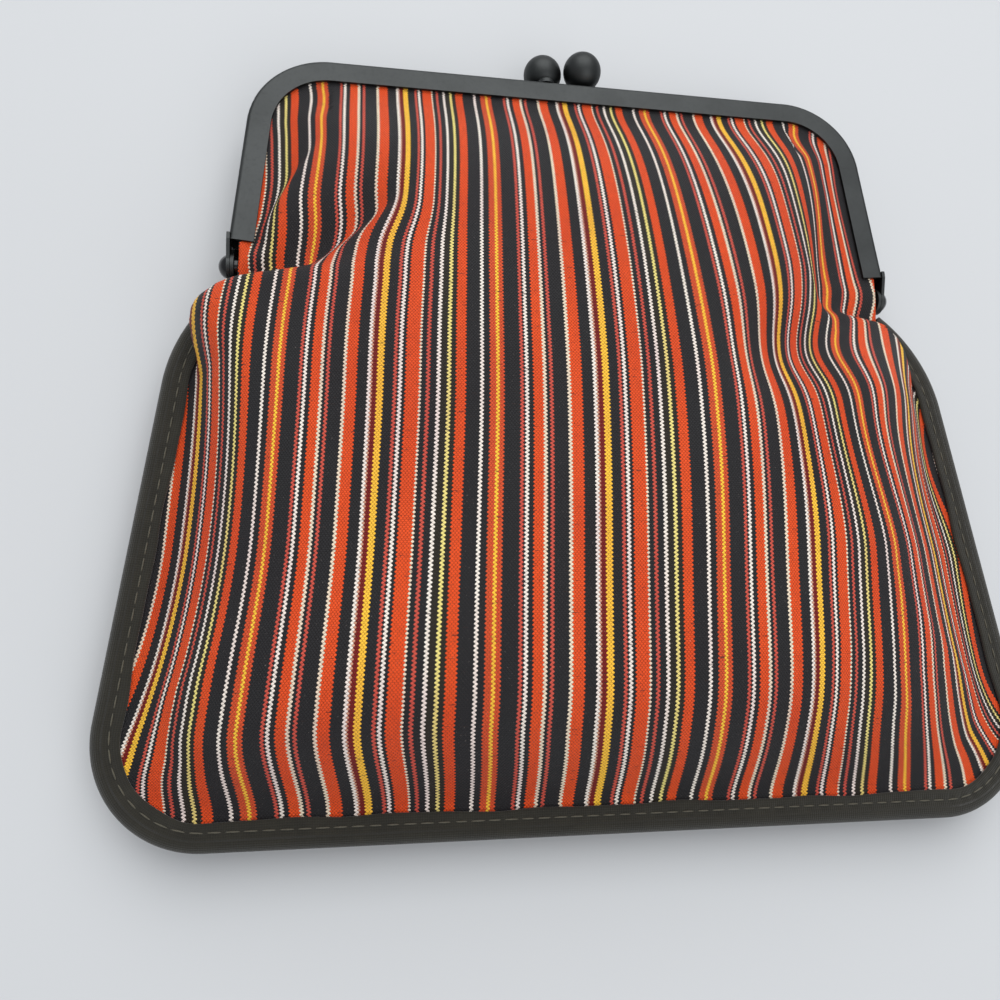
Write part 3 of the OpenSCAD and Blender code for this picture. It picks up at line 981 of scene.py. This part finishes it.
@dataclass(frozen=True)
class PlainCloth:
    """Plain weave in one colour for linings and tape.

    Attributes:
        name: Name of the material.
        rgb: Colour, as sRGB values from 0 to 255.
        pitch: Spacing of the threads, in millimetres.
        fluff: Share of rubbed patches in the tone of the cloth.
        grain_share: Share of uneven threads in that tone.
        weave_share: Share of the weave in that tone.
        least: Least tone.
        dark: Factor from the colour to the darkest tone.
        light: Factor from the colour to the lightest tone.
        lift: Amount added to the lightest tone.
        rub: Rubbed patches.
        grain: Unevenness of the threads.
        relief: Shares of the weave and the uneven threads in the height.
        relief_height: Height of the weave, in millimetres.
    """

    name: str
    rgb: tuple[int, int, int]
    pitch: float = 0.4
    fluff: float = 0.25
    grain_share: float = 0.35
    weave_share: float = 0.16
    least: float = 0.1
    dark: float = 0.62
    light: float = 1.35
    lift: float = 6
    rub: Mottle = Mottle(0.12, 3, step=(0.3, 0.8))
    grain: Mottle = Mottle(1.4, 3)
    relief: tuple[float, float] = (0.5, 0.6)
    relief_height: float = 0.12

    def build(self) -> bpy.types.Material:
        """Builds the cloth with a fine weave and lighter rubbed patches.

        Returns:
            The finished material.
        """
        sh = Shader(self.name)
        across, along = sh.uv()
        a, b = across / self.pitch, along / self.pitch
        weave = (a + b).wave() * (a - b).wave()
        rub, grain = self.rub.over(sh, across, along), self.grain.over(sh, across, along)
        tone = rub * self.fluff + grain * self.grain_share + weave * self.weave_share + self.least
        colour = sh.mix(tone, tint(self.rgb, self.dark), tint(self.rgb, self.light, self.lift))
        height = weave * self.relief[0] + grain * self.relief[1]
        return sh.finish(
            Base_Color=colour, Roughness=0.85, Sheen_Weight=0.2, Sheen_Roughness=0.6, Specular_IOR_Level=0.2,
            Normal=sh.bump(height, self.relief_height * MM, strength=0.7))


@dataclass(frozen=True)
class Metal:
    """Plated metal with a worn satin or glossy face.

    Attributes:
        name: Name of the material.
        rgb: Colour, as sRGB values from 0 to 255.
        rough: Least roughness.
        metallic: Metallic share.
        coat: Weight of a clear coat.
        dark: Factor from the colour to its darkest clouds.
        light: Factor from the colour to its lightest clouds.
        cloud_scale: Scale of the clouds, per metre.
        scratch_scale: Scale of the scratches before their own noise, per metre.
        uneven: Roughness that clouds and scratches each add.
        relief_height: Height of clouds and scratches, in millimetres.
        scratch_share: Share of the scratches in that height.
    """

    name: str
    rgb: tuple[int, int, int]
    rough: float
    metallic: float = 1.0
    coat: float = 0.0
    dark: float = 0.92
    light: float = 1.05
    cloud_scale: float = 90
    scratch_scale: float = 500
    uneven: float = 0.06
    relief_height: float = 0.01
    scratch_share: float = 0.3

    def build(self) -> bpy.types.Material:
        """Builds the metal with cloudy colour, fine scratches and uneven gloss.

        Returns:
            The finished material.
        """
        sh = Shader(self.name)
        cloud = sh.noise(self.cloud_scale, detail=4).ramp(0.3, 0.7)
        fine = sh.node("ShaderNodeMapping", sockets={0: sh.point(), "Scale": (self.scratch_scale,) * 3})
        scratch = sh.noise(3, detail=3, vector=sh.sock(fine)).ramp(0.45, 0.75)
        colour = sh.mix(cloud, tint(self.rgb, self.dark), tint(self.rgb, self.light))
        height = scratch * self.scratch_share + cloud
        return sh.finish(
            Base_Color=colour, Metallic=self.metallic, Coat_Weight=self.coat,
            Roughness=cloud * self.uneven + scratch * self.uneven + self.rough,
            Normal=sh.bump(height, self.relief_height * MM, strength=0.3))


@dataclass(frozen=True)
class Thread:
    """Sewing thread or paper cord with a visible twist.

    Attributes:
        name: Name of the material.
        rgb: Colour, as sRGB values from 0 to 255.
        dark: Factor from the colour to its darkest strands.
        light: Factor from the colour to its lightest strands.
        strand_scale: Scale of the strands, per metre.
        relief_height: Height of the strands, in millimetres.
    """

    name: str = "stitch_thread"
    rgb: tuple[int, int, int] = (78, 74, 60)
    dark: float = 0.7
    light: float = 1.2
    strand_scale: float = 2600
    relief_height: float = 0.08

    def build(self) -> bpy.types.Material:
        """Builds the thread with its twisted strands.

        Returns:
            The finished material.
        """
        sh = Shader(self.name)
        strand = sh.noise(self.strand_scale, detail=2)
        colour = sh.mix(strand, tint(self.rgb, self.dark), tint(self.rgb, self.light))
        normal = sh.bump(strand, self.relief_height * MM, strength=0.6)
        return sh.finish(Base_Color=colour, Roughness=0.6, Sheen_Weight=0.2, Normal=normal)


def mesh_object(name: str, points: Array, faces: list[list[int]], material: bpy.types.Material,
                uv: Array | None = None, shade_smooth: bool = True) -> bpy.types.Object:
    """New object at the origin from points in metres.

    Args:
        name: Name of the piece.
        points: Vertices in row-frame metres.
        faces: Vertex numbers of each face.
        material: Finish of the piece.
        uv: Cloth coordinate of each vertex, in millimetres.
        shade_smooth: Whether its faces are shaded smooth.

    Returns:
        The linked object.
    """
    mesh = bpy.data.meshes.new(name)
    mesh.from_pydata(points.tolist(), [], faces)
    if uv is not None:
        layer = mesh.uv_layers.new(name="cloth")
        loops = np.empty(len(mesh.loops), dtype=np.int32)
        mesh.loops.foreach_get("vertex_index", loops)
        layer.data.foreach_set("uv", uv.astype(np.float32)[loops].ravel())
    mesh.polygons.foreach_set("use_smooth", [shade_smooth] * len(mesh.polygons))
    mesh.materials.append(material)
    mesh.validate()
    obj = bpy.data.objects.new(name, mesh)
    bpy.context.scene.collection.objects.link(obj)
    return obj


@dataclass
class ClothPiece:
    """Panel or lining on a fine grid of rows, with its thickness and cloth coordinates.

    Attributes:
        name: Name of the piece.
        node: CAD node that it stands for.
        shape: Sizes of the purse.
        face: Side of the purse.
        height: Height of its face over plan points.
        thickness: Thickness of the cloth, in millimetres.
        columns: Grid points in each row.
        pitch: Mean spacing of the rows, in millimetres.
        slot: Material slot.
        shift: Drift of the pattern over plan points, if any.
        roll: Plan shift of the cloth over plan points, if any.
        fine_from: Plan y from which the rows are closer, over the folds.
        low_rows: Factor of the spacing below that.
        high_rows: Factor of the spacing above that.
        end_rows: Added rows at both ends, as shares of the spacing.
        rim_rise: Share of the rise that counts as cloth at the binding, where the edge is eased in.
        rim_band: Distances from the binding at which that share starts to grow, and at which it is 1.
    """

    name: str
    node: str
    shape: PurseShape
    face: Face
    height: Callable[[Array, Array], Array]
    thickness: float
    columns: int
    pitch: float
    slot: str
    shift: Callable[[Array, Array], Array] | None = None
    roll: Callable[[Array, Array], tuple[Array, Array]] | None = None
    fine_from: float = -40
    low_rows: float = 1.25
    high_rows: float = 0.78
    end_rows: tuple[float, ...] = (0.15, 0.3, 0.5)
    rim_rise: float = 0.35
    rim_band: tuple[float, float] = (1, 12)

    def grid(self) -> tuple[Array, Array]:
        """Lays out the grid, with closer rows over the folds and at both ends.

        Returns:
            Plan x and y of its points, in millimetres.
        """
        ys, xs = self.shape.cloth_outline()
        low = np.arange(ys[0], self.fine_from, self.low_rows * self.pitch)
        high = np.arange(self.fine_from, ys[-1], self.high_rows * self.pitch)
        ends = np.array(self.end_rows) * self.pitch
        rows = np.unique(np.concatenate([low, high, ys[0] + ends, ys[-1] - ends, [ys[-1]]]))
        half = np.interp(rows, ys, xs)
        u = np.linspace(-1, 1, self.columns)
        return half[:, None] * u[None, :], np.repeat(rows[:, None], self.columns, axis=1)

    def cloth_coordinates(self, x: Array, y: Array, z: Array) -> Array:
        """Measures the cloth along its rows and columns.

        Args:
            x: Plan x of the grid points, in millimetres.
            y: Plan y of the grid points, in millimetres.
            z: Height of the grid points, in millimetres.

        Returns:
            Place of each point on the cloth, across and along the warp, in millimetres.
        """
        gap = self.shape.bind_gap(np.abs(x), y) - self.shape.binding_w
        ease = self.rim_rise + (1 - self.rim_rise) * smooth(*self.rim_band, gap)
        step = np.hypot(np.diff(x, axis=1), np.diff(z, axis=1) * ease[:, 1:])
        across = np.concatenate([np.zeros((len(x), 1)), np.cumsum(step, axis=1)], axis=1)
        middle = self.columns // 2
        across -= across[:, middle:middle + 1]
        rise = np.hypot(np.diff(y, axis=0), np.diff(z, axis=0)).mean(axis=1, keepdims=True)
        along = np.concatenate([np.zeros((1, 1)), np.cumsum(rise, axis=0)], axis=0)
        if self.shift:
            across = across + self.shift(x, y)
        return np.stack(np.broadcast_arrays(across, along), axis=-1)

    def shell(self, points: Array) -> tuple[Array, list[list[int]]]:
        """Closes the grid to a shell with the thickness of the cloth.

        Args:
            points: Grid points on the face of the cloth, in millimetres.

        Returns:
            Vertices of both sides in row-frame metres, and the faces.
        """
        normal = np.cross(np.gradient(points, axis=1), np.gradient(points, axis=0))
        normal /= np.linalg.norm(normal, axis=-1, keepdims=True)
        inner = points - self.face.value * normal * self.thickness
        rows, cols = points.shape[:2]
        count = rows * cols
        index = np.arange(count).reshape(rows, cols)
        corners = [index[:-1, :-1], index[:-1, 1:], index[1:, 1:], index[1:, :-1]]
        quads = np.stack(corners, axis=-1).reshape(-1, 4)
        rim = np.concatenate([index[0, :-1], index[:-1, -1], index[-1, :0:-1], index[:0:-1, 0]])
        after = np.roll(rim, -1)
        walls = np.stack([rim, rim + count, after + count, after], axis=-1)
        faces = np.concatenate([quads, quads[:, ::-1] + count, walls])
        if self.face is Face.BACK:
            faces = faces[:, ::-1]
        both = np.concatenate([points.reshape(-1, 3), inner.reshape(-1, 3)])
        return self.shape.place(both), faces.tolist()

    def build(self, material: bpy.types.Material) -> bpy.types.Object:
        """Builds the cloth, which stands for its CAD node.

        Args:
            material: Finish of the cloth.

        Returns:
            The finished piece.
        """
        x, y = self.grid()
        z = self.height(x, y)
        if self.roll:
            dx, dy = self.roll(x, y)
            x, y = x + dx, y + dy
        uv = self.cloth_coordinates(x, y, z)
        points = np.stack([x, y, z], axis=-1)
        vertices, faces = self.shell(points)
        obj = mesh_object(self.name, vertices, faces, material, np.tile(uv.reshape(-1, 2), (2, 1)))
        runs = (np.linalg.norm(np.diff(points, axis=a), axis=-1).sum(axis=a) for a in (1, 0))
        width, length = (float(run.max()) * MM for run in runs)
        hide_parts(self.node)
        return obj

    @staticmethod
    def area(points: Array) -> float:
        """Area of a sheet.

        Args:
            points: Its grid points, in millimetres.

        Returns:
            Area in square metres.
        """
        a = points[1:, 1:] - points[:-1, :-1]
        b = points[1:, :-1] - points[:-1, 1:]
        return float(np.linalg.norm(np.cross(a, b), axis=-1).sum() / 2) * MM * MM


@dataclass
class Binding:
    """Folded tape around the sewn edge, with its topstitch, in millimetres.

    Attributes:
        shape: Sizes of the purse.
        path_pitch: Spacing of the sections along the tape.
        round_points: Points round the outer and the inner bend of a section.
        flat_points: Points along each flat side of a section.
        flat_start: Distance from the rounded edge to the first points of the flat sides.
        lip_bevel: Bevel of the tape's cut edges.
        slot_bevel: Opening of the slot at those edges.
        ripples: Waves of the inner edge along the tape.
        stitch_pitch: Spacing of the stitches.
        stitch_length: Length of a stitch.
        stitch_r: Radius of the thread.
        stitch_inset: Distance of the stitches from the outer edge.
        stitch_seed: Seed of their uneven lengths.
        line_pitch: Spacing of the points along the line of stitches.
        thread_lift: Height of the thread's middle above the dimples.
        pucker: Mean depth of the dimples at the stitches.
        pucker_w: Half width of the dimples.
        beat: Share of that depth which changes from stitch to stitch.
    """

    shape: PurseShape
    path_pitch: float = 0.7
    round_points: tuple[int, int] = (13, 9)
    flat_points: int = 8
    flat_start: float = 0.4
    lip_bevel: float = 0.15
    slot_bevel: float = 0.1
    ripples: tuple[Ripple, ...] = (
        Ripple(0.16, 4.1), Ripple(0.12, 9.7, phase=1), Ripple(0.08, 2.3, phase=2))
    stitch_pitch: float = 3.2
    stitch_length: float = 2.9
    stitch_r: float = 0.16
    stitch_inset: float = 3.75
    stitch_seed: int = 4
    line_pitch: float = 0.5
    thread_lift: float = 0.02
    pucker: float = 0.12
    pucker_w: float = 0.7
    beat: float = 0.45

    def profile(self) -> Array:
        """Draws the closed section of the tape.

        Returns:
            Inward and upward offsets of its points from the outer edge.
        """
        out, slot, width = self.shape.binding_half_t, self.shape.slot_half, self.shape.binding_w
        outer, inner = (np.linspace(-math.pi / 2, math.pi / 2, n) for n in self.round_points)
        round_out = [(out - out * math.cos(a), -out * math.sin(a)) for a in outer]
        round_in = [(out - slot * math.cos(a), slot * math.sin(a)) for a in inner]
        flat = np.linspace(out + self.flat_start, width - self.lip_bevel, self.flat_points)
        lip, mouth = out - self.lip_bevel, slot + self.slot_bevel
        low = [*((a, -out) for a in flat), (width, -lip), (width, -mouth)]
        high = [(width, mouth), (width, lip), *((a, out) for a in flat[::-1])]
        return np.array([*round_out, *low, *round_in, *high])

    def build(self, material: bpy.types.Material) -> bpy.types.Object:
        """Builds the tape with a slightly wavy edge and dimples at its stitches.

        Args:
            material: Finish of the tape.

        Returns:
            The finished piece.
        """
        path, inward = self.shape.tape_path(0, self.path_pitch)
        section = self.profile()
        length, girth = run_length(path), run_length(section)
        wave = sum(ripple.at(length) for ripple in self.ripples)
        into = section[None, :, 0] + wave[:, None] * (section[:, 0] / self.shape.binding_w)[None, :] ** 2
        near = np.exp(-(((section[:, 0] - self.stitch_inset) / self.pucker_w) ** 2))
        flat = np.abs(section[:, 1]) > self.shape.slot_half + self.shape.tape_t / 2
        dimple = np.sign(section[:, 1]) * 2 * self.pucker * near * flat
        beat = 1 - self.beat + self.beat * np.cos(2 * math.pi * length / self.stitch_pitch)
        points = np.empty((len(path), len(section), 3))
        points[..., :2] = path[:, None, :] + inward[:, None, :] * into[..., None]
        points[..., 2] = section[None, :, 1] - dimple[None, :] * beat[:, None]
        index = np.arange(len(path) * len(section)).reshape(len(path), len(section))
        after = np.roll(index, -1, axis=1)
        quads = np.stack([index[:-1], after[:-1], after[1:], index[1:]], axis=-1).reshape(-1, 4)
        faces = [*quads.tolist(), index[0, ::-1].tolist(), index[-1].tolist()]
        uv = np.stack(np.broadcast_arrays(girth[None, :], length[:, None]), axis=-1).reshape(-1, 2)
        obj = mesh_object("binding_tape", self.shape.place(points.reshape(-1, 3)), faces, material, uv)
        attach(obj, "body")
        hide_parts("edge_binding")
        area = sum(p.area for p in obj.data.polygons) / 2
        width, run = area / length[-1] / MM, length[-1] * MM
        LOG.info("binding_tape: cut %.1f x %.1f mm", width * 1e3, run * 1e3)
        return obj

    def stitches(self, material: bpy.types.Material, face: Face) -> bpy.types.Object:
        """Row of stitches along one face of the tape, made by geometry nodes.

        Args:
            material: Finish of the thread.
            face: Side of the purse.

        Returns:
            The stitches as a plain mesh.
        """
        path, _ = self.shape.tape_path(self.stitch_inset, self.line_pitch)
        z = face.value * (self.shape.binding_half_t - self.pucker + self.thread_lift)
        points = self.shape.place(np.column_stack([path, np.full(len(path), z)]))
        name = f"stitches_{face.name.lower()}"
        mesh = bpy.data.meshes.new(name + "_line")
        mesh.from_pydata(points.tolist(), [(i, i + 1) for i in range(len(points) - 1)], [])
        obj = bpy.data.objects.new(name, mesh)
        bpy.context.scene.collection.objects.link(obj)
        tree = StitchNodes().build(material)
        modifier = obj.modifiers.new("stitches", "NODES")
        modifier.node_group = tree
        values = {"Pitch": self.stitch_pitch * MM, "Length": self.stitch_length * MM,
                  "Radius": self.stitch_r * MM, "Seed": self.stitch_seed}
        for item in tree.interface.items_tree:
            if item.item_type == "SOCKET" and item.in_out == "INPUT" and item.name in values:
                modifier[item.identifier] = values[item.name]
        bpy.context.view_layer.update()
        made = bpy.data.meshes.new_from_object(obj.evaluated_get(bpy.context.evaluated_depsgraph_get()))
        obj.modifiers.clear()
        obj.data = made
        made.name = name
        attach(obj, "body")
        return obj


@dataclass(frozen=True)
class StitchNodes:
    """Geometry node tree that lays stitches along a line of edges.

    Attributes:
        segments: Faces round a stitch.
        rings: Faces along a stitch.
        shares: Least and greatest half of a stitch, as shares of its length.
    """

    segments: int = 8
    rings: int = 6
    shares: tuple[float, float] = (0.42, 0.52)

    def build(self, material: bpy.types.Material) -> bpy.types.NodeTree:
        """Tree with named inputs for pitch, length, radius and seed.

        Args:
            material: Finish of the thread.

        Returns:
            The node tree.
        """
        tree = bpy.data.node_groups.new("stitch_row", "GeometryNodeTree")
        sockets = [("Geometry", "Geometry"), ("Pitch", "Float"), ("Length", "Float"), ("Radius", "Float"),
                   ("Seed", "Int")]
        for name, kind in sockets:
            tree.interface.new_socket(name, in_out="INPUT", socket_type=f"NodeSocket{kind}")
        tree.interface.new_socket("Geometry", in_out="OUTPUT", socket_type="NodeSocketGeometry")
        new = tree.nodes.new
        start, end = new("NodeGroupInput"), new("NodeGroupOutput")
        curve, resample = new("GeometryNodeMeshToCurve"), new("GeometryNodeResampleCurve")
        resample.mode = "LENGTH"
        ball, shade = new("GeometryNodeMeshUVSphere"), new("GeometryNodeSetShadeSmooth")
        for key, value in {"Segments": self.segments, "Rings": self.rings, "Radius": 1.0}.items():
            ball.inputs[key].default_value = value
        tangent, align = new("GeometryNodeInputTangent"), new("FunctionNodeAlignRotationToVector")
        align.axis = "X"
        spread = new("FunctionNodeRandomValue")
        spread.data_type = "FLOAT"
        limits = [s for s in spread.inputs if s.type == "VALUE" and s.enabled]
        for limit, share in zip(limits, self.shares):
            limit.default_value = share
        half, size = new("ShaderNodeMath"), new("ShaderNodeCombineXYZ")
        half.operation = "MULTIPLY"
        place, real = new("GeometryNodeInstanceOnPoints"), new("GeometryNodeRealizeInstances")
        dress = new("GeometryNodeSetMaterial")
        dress.inputs["Material"].default_value = material
        links = [
            (start.outputs["Geometry"], curve.inputs[0]),
            (curve.outputs[0], resample.inputs["Curve"]),
            (start.outputs["Pitch"], resample.inputs["Length"]),
            (ball.outputs["Mesh"], shade.inputs[0]),
            (tangent.outputs[0], align.inputs["Vector"]),
            (start.outputs["Seed"], spread.inputs["Seed"]),
            (start.outputs["Length"], half.inputs[0]),
            (next(o for o in spread.outputs if o.type == "VALUE"), half.inputs[1]),
            (half.outputs[0], size.inputs[0]),
            (start.outputs["Radius"], size.inputs[1]),
            (start.outputs["Radius"], size.inputs[2]),
            (resample.outputs[0], place.inputs["Points"]),
            (shade.outputs[0], place.inputs["Instance"]),
            (align.outputs[0], place.inputs["Rotation"]),
            (size.outputs[0], place.inputs["Scale"]),
            (place.outputs[0], real.inputs[0]),
            (real.outputs[0], dress.inputs[0]),
            (dress.outputs[0], end.inputs[0]),
        ]
        for source, target in links:
            tree.links.new(source, target)
        return tree


@dataclass
class MetalWork:
    """Frames, rivets, clasp and cords, which keep their CAD shapes and get their finishes.

    Attributes:
        frame_finish: Finish of the frames and the clasp.
        rivet_finish: Finish of the rivets.
        cord_finish: Finish of the cords in the channels.
    """

    frame_finish: Metal = Metal("gunmetal", (69, 71, 71), 0.46)
    rivet_finish: Metal = Metal("rivet_black", (24, 24, 26), 0.18, 0.6, 0.5)
    cord_finish: Thread = Thread("paper_cord", (176, 156, 120))

    def dress(self) -> None:
        """Gives every hard CAD node its material, by the first word of its name."""
        metal, black, cord = self.frame_finish.build(), self.rivet_finish.build(), self.cord_finish.build()
        finishes = {"frame": metal, "clasp": metal, "hinge": black, "channel": cord}
        for name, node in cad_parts.items():
            material = finishes.get(name.split("_")[0])
            if material:
                node.data.materials.clear()
                node.data.materials.append(material)


@dataclass(frozen=True)
class Lamp:
    """Square soft lamp.

    Attributes:
        name: Name of the lamp.
        at: Its place, in metres.
        watts: Its power.
        size: Side of the square, in metres.
    """

    name: str
    at: tuple[float, float, float]
    watts: float
    size: float

    def build(self, aim: tuple[float, float, float]) -> None:
        """Sets up the lamp.

        Args:
            aim: Point that it shines at, in metres.
        """
        light = bpy.data.lights.new(self.name, "AREA")
        light.energy, light.size = self.watts, self.size
        obj = bpy.data.objects.new(self.name, light)
        obj.location = self.at
        obj.rotation_euler = (Vector(aim) - Vector(self.at)).to_track_quat("-Z", "Y").to_euler()
        bpy.context.scene.collection.objects.link(obj)


@dataclass
class Studio:
    """Floor, lamps and camera at the photo's viewing angle.

    Attributes:
        eye: Place of the camera, in millimetres around the hinge axis.
        ahead: Direction in which it looks.
        up: Direction that is up in the picture.
        lens: Focal length, in millimetres.
        sensor: Width of the sensor, in millimetres.
        near: Nearest distance that is shown, in metres.
        floor_half: Half the side of the floor, in metres.
        floor_rgb: Colour of the floor.
        lamps: Soft key from beyond the clasp, and a fill from the near side.
        aim: Point that the lamps shine at, in metres.
        surround: Colour of the even surround.
        surround_strength: Strength of the surround.
    """

    eye: tuple[float, float, float] = (-48.9, -94.5, 180.0)
    ahead: tuple[float, float, float] = (0.165, 0.237, -0.957)
    up: tuple[float, float, float] = (-0.014, 0.970, 0.238)
    lens: float = 32.4
    sensor: float = 36
    near: float = 0.005
    floor_half: float = 20
    floor_rgb: tuple[int, int, int] = (206, 208, 210)
    lamps: tuple[Lamp, ...] = (
        Lamp("key", (0.0, 0.75, 1.0), 16, 1.5), Lamp("fill", (0.35, -0.7, 0.8), 4, 1.0))
    aim: tuple[float, float, float] = (0, 0, 0.01)
    surround: tuple[float, float, float, float] = (0.75, 0.78, 0.82, 1)
    surround_strength: float = 0.5

    def floor(self) -> None:
        """Lays a plain pale floor."""
        material = Shader("floor").finish(Base_Color=linear(self.floor_rgb), Roughness=0.8)
        corners = np.array([(-1, -1, 0), (1, -1, 0), (1, 1, 0), (-1, 1, 0)]) * self.floor_half
        mesh_object("floor", corners, [[0, 1, 2, 3]], material, shade_smooth=False)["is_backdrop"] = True

    def light(self) -> None:
        """Sets up the lamps and the surround."""
        for lamp in self.lamps:
            lamp.build(self.aim)
        world = bpy.data.worlds.new("surround")
        world.use_nodes = True
        background = world.node_tree.nodes["Background"]
        background.inputs[0].default_value = self.surround
        background.inputs[1].default_value = self.surround_strength
        bpy.context.scene.world = world

    def camera(self, shape: PurseShape) -> None:
        """Sets up the camera, which is fitted to the photo.

        Args:
            shape: Sizes of the purse.
        """
        data = bpy.data.cameras.new("camera")
        data.sensor_width, data.lens, data.clip_start = self.sensor, self.lens, self.near
        obj = bpy.data.objects.new("camera", data)
        ahead = Vector(self.ahead).normalized()
        right = ahead.cross(Vector(self.up)).normalized()
        up = right.cross(ahead)
        at = Vector(shape.place(np.array(self.eye)).tolist())
        obj.matrix_world = Matrix.Translation(at) @ Matrix((right, up, -ahead)).transposed().to_4x4()
        bpy.context.scene.collection.objects.link(obj)
        bpy.context.scene.camera = obj

    def build(self, shape: PurseShape) -> None:
        """Sets up the whole stage.

        Args:
            shape: Sizes of the purse.
        """
        self.floor()
        self.light()
        self.camera(shape)
        bpy.context.scene.view_settings.view_transform = "Standard"


@dataclass
class Purse:
    """Whole purse: cloth pieces, binding and metal.

    Attributes:
        shape: Sizes of the purse.
        tape: Finish of the binding.
        lining: Finish of the linings.
        bend: Plan y at which the front cloth would start to follow the front frame, and at which it would do
            so fully; its points are worked out but not used.
        gather: Share by which the stripes draw together towards the frame.
        gather_shift: Drift of all stripes at the frame, in millimetres.
        gather_rows: Plan y at which the gathering starts, and at which it is full.
        spreads: Widening of the stripes towards the sides.
        drifts: Sideways drift of the stripes, zone by zone.
    """

    shape: PurseShape = field(default_factory=PurseShape)
    tape: PlainCloth = PlainCloth("binding_tape", (34, 32, 24), 0.45)
    lining: PlainCloth = PlainCloth("lining_cloth", (70, 62, 46))
    bend: tuple[float, float] = (-14, 5)
    gather: float = 0.16
    gather_shift: float = 1
    gather_rows: tuple[float, float] = (-30, 42)
    spreads: tuple[Spread, ...] = (
        Spread(1, 0.0022, (-112, -85), (-45, 0)),
        Spread(-1, 0.002, (-112, -60), (-12, 10)),
    )
    drifts: tuple[Drift, ...] = (
        Drift(2.5, (-22, -88)),
        Drift(-1.6, (-95, -111)),
        Drift(1.5, (8, -8), (-95, -111), (-26, -46)),
        Drift(-2.4, (-2, 10), (14, 40), (-25, -42), 0.5),
        Drift(11, (2, -27), (-34, -64), (34, 62)),
        Drift(0.8, (-40, -80), side=(10, 50)),
    )

    def thread_shift(self, x: Array, y: Array) -> Array:
        """Drift of the stripes over the front, as gathering pulls them.

        Args:
            x: Plan x of the points, in millimetres.
            y: Plan y of the points, in millimetres.

        Returns:
            Drift at each point, in millimetres of cloth.
        """
        gather = (self.gather * x + self.gather_shift) * smooth(*self.gather_rows, y)
        return gather + sum(zone.at(x, y) for zone in (*self.spreads, *self.drifts))

    def cloth(self) -> None:
        """Builds the panels and linings, bakes the front ones in place and attaches the back ones to the
        body.
        """
        s = self.shape
        stripes, plain = StripedCloth().build(), self.lining.build()
        pieces = [
            ClothPiece("cloth_front", "panel_front", s, Face.FRONT, s.panel_front, s.panel_t,
                       columns=236, pitch=0.85, slot="striped_cloth",
                       shift=self.thread_shift, roll=s.bulge_out),
            ClothPiece("inside_front", "lining_front", s, Face.FRONT, s.lining_front, s.lining_t,
                       columns=110, pitch=1.7, slot="lining_cloth"),
            ClothPiece("cloth_back", "panel_back", s, Face.BACK, s.panel_back, s.panel_t,
                       columns=160, pitch=1.2, slot="striped_cloth"),
            ClothPiece("inside_back", "lining_back", s, Face.BACK, s.lining_back, s.lining_t,
                       columns=110, pitch=1.7, slot="lining_cloth"),
        ]
        low, high = s.place(np.array([(0, y, 0) for y in self.bend]))
        for piece in pieces:
            obj = piece.build(stripes if piece.slot == "striped_cloth" else plain)
            if piece.face is Face.FRONT:
                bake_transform(obj)
            else:
                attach(obj, "body")

    def build(self) -> None:
        """Builds every visible piece."""
        self.cloth()
        binding = Binding(self.shape)
        binding.build(self.tape.build())
        thread = Thread().build()
        for face in Face:
            binding.stitches(thread, face)
        MetalWork().dress()


def main() -> None:
    """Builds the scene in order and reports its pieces."""
    logging.basicConfig(level=logging.INFO)
    purse = Purse()
    purse.build()
    Studio().build(purse.shape)
    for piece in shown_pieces():
        LOG.info("%s: %d faces", piece.name, len(piece.data.polygons))


if __name__ == "__main__":
    main()
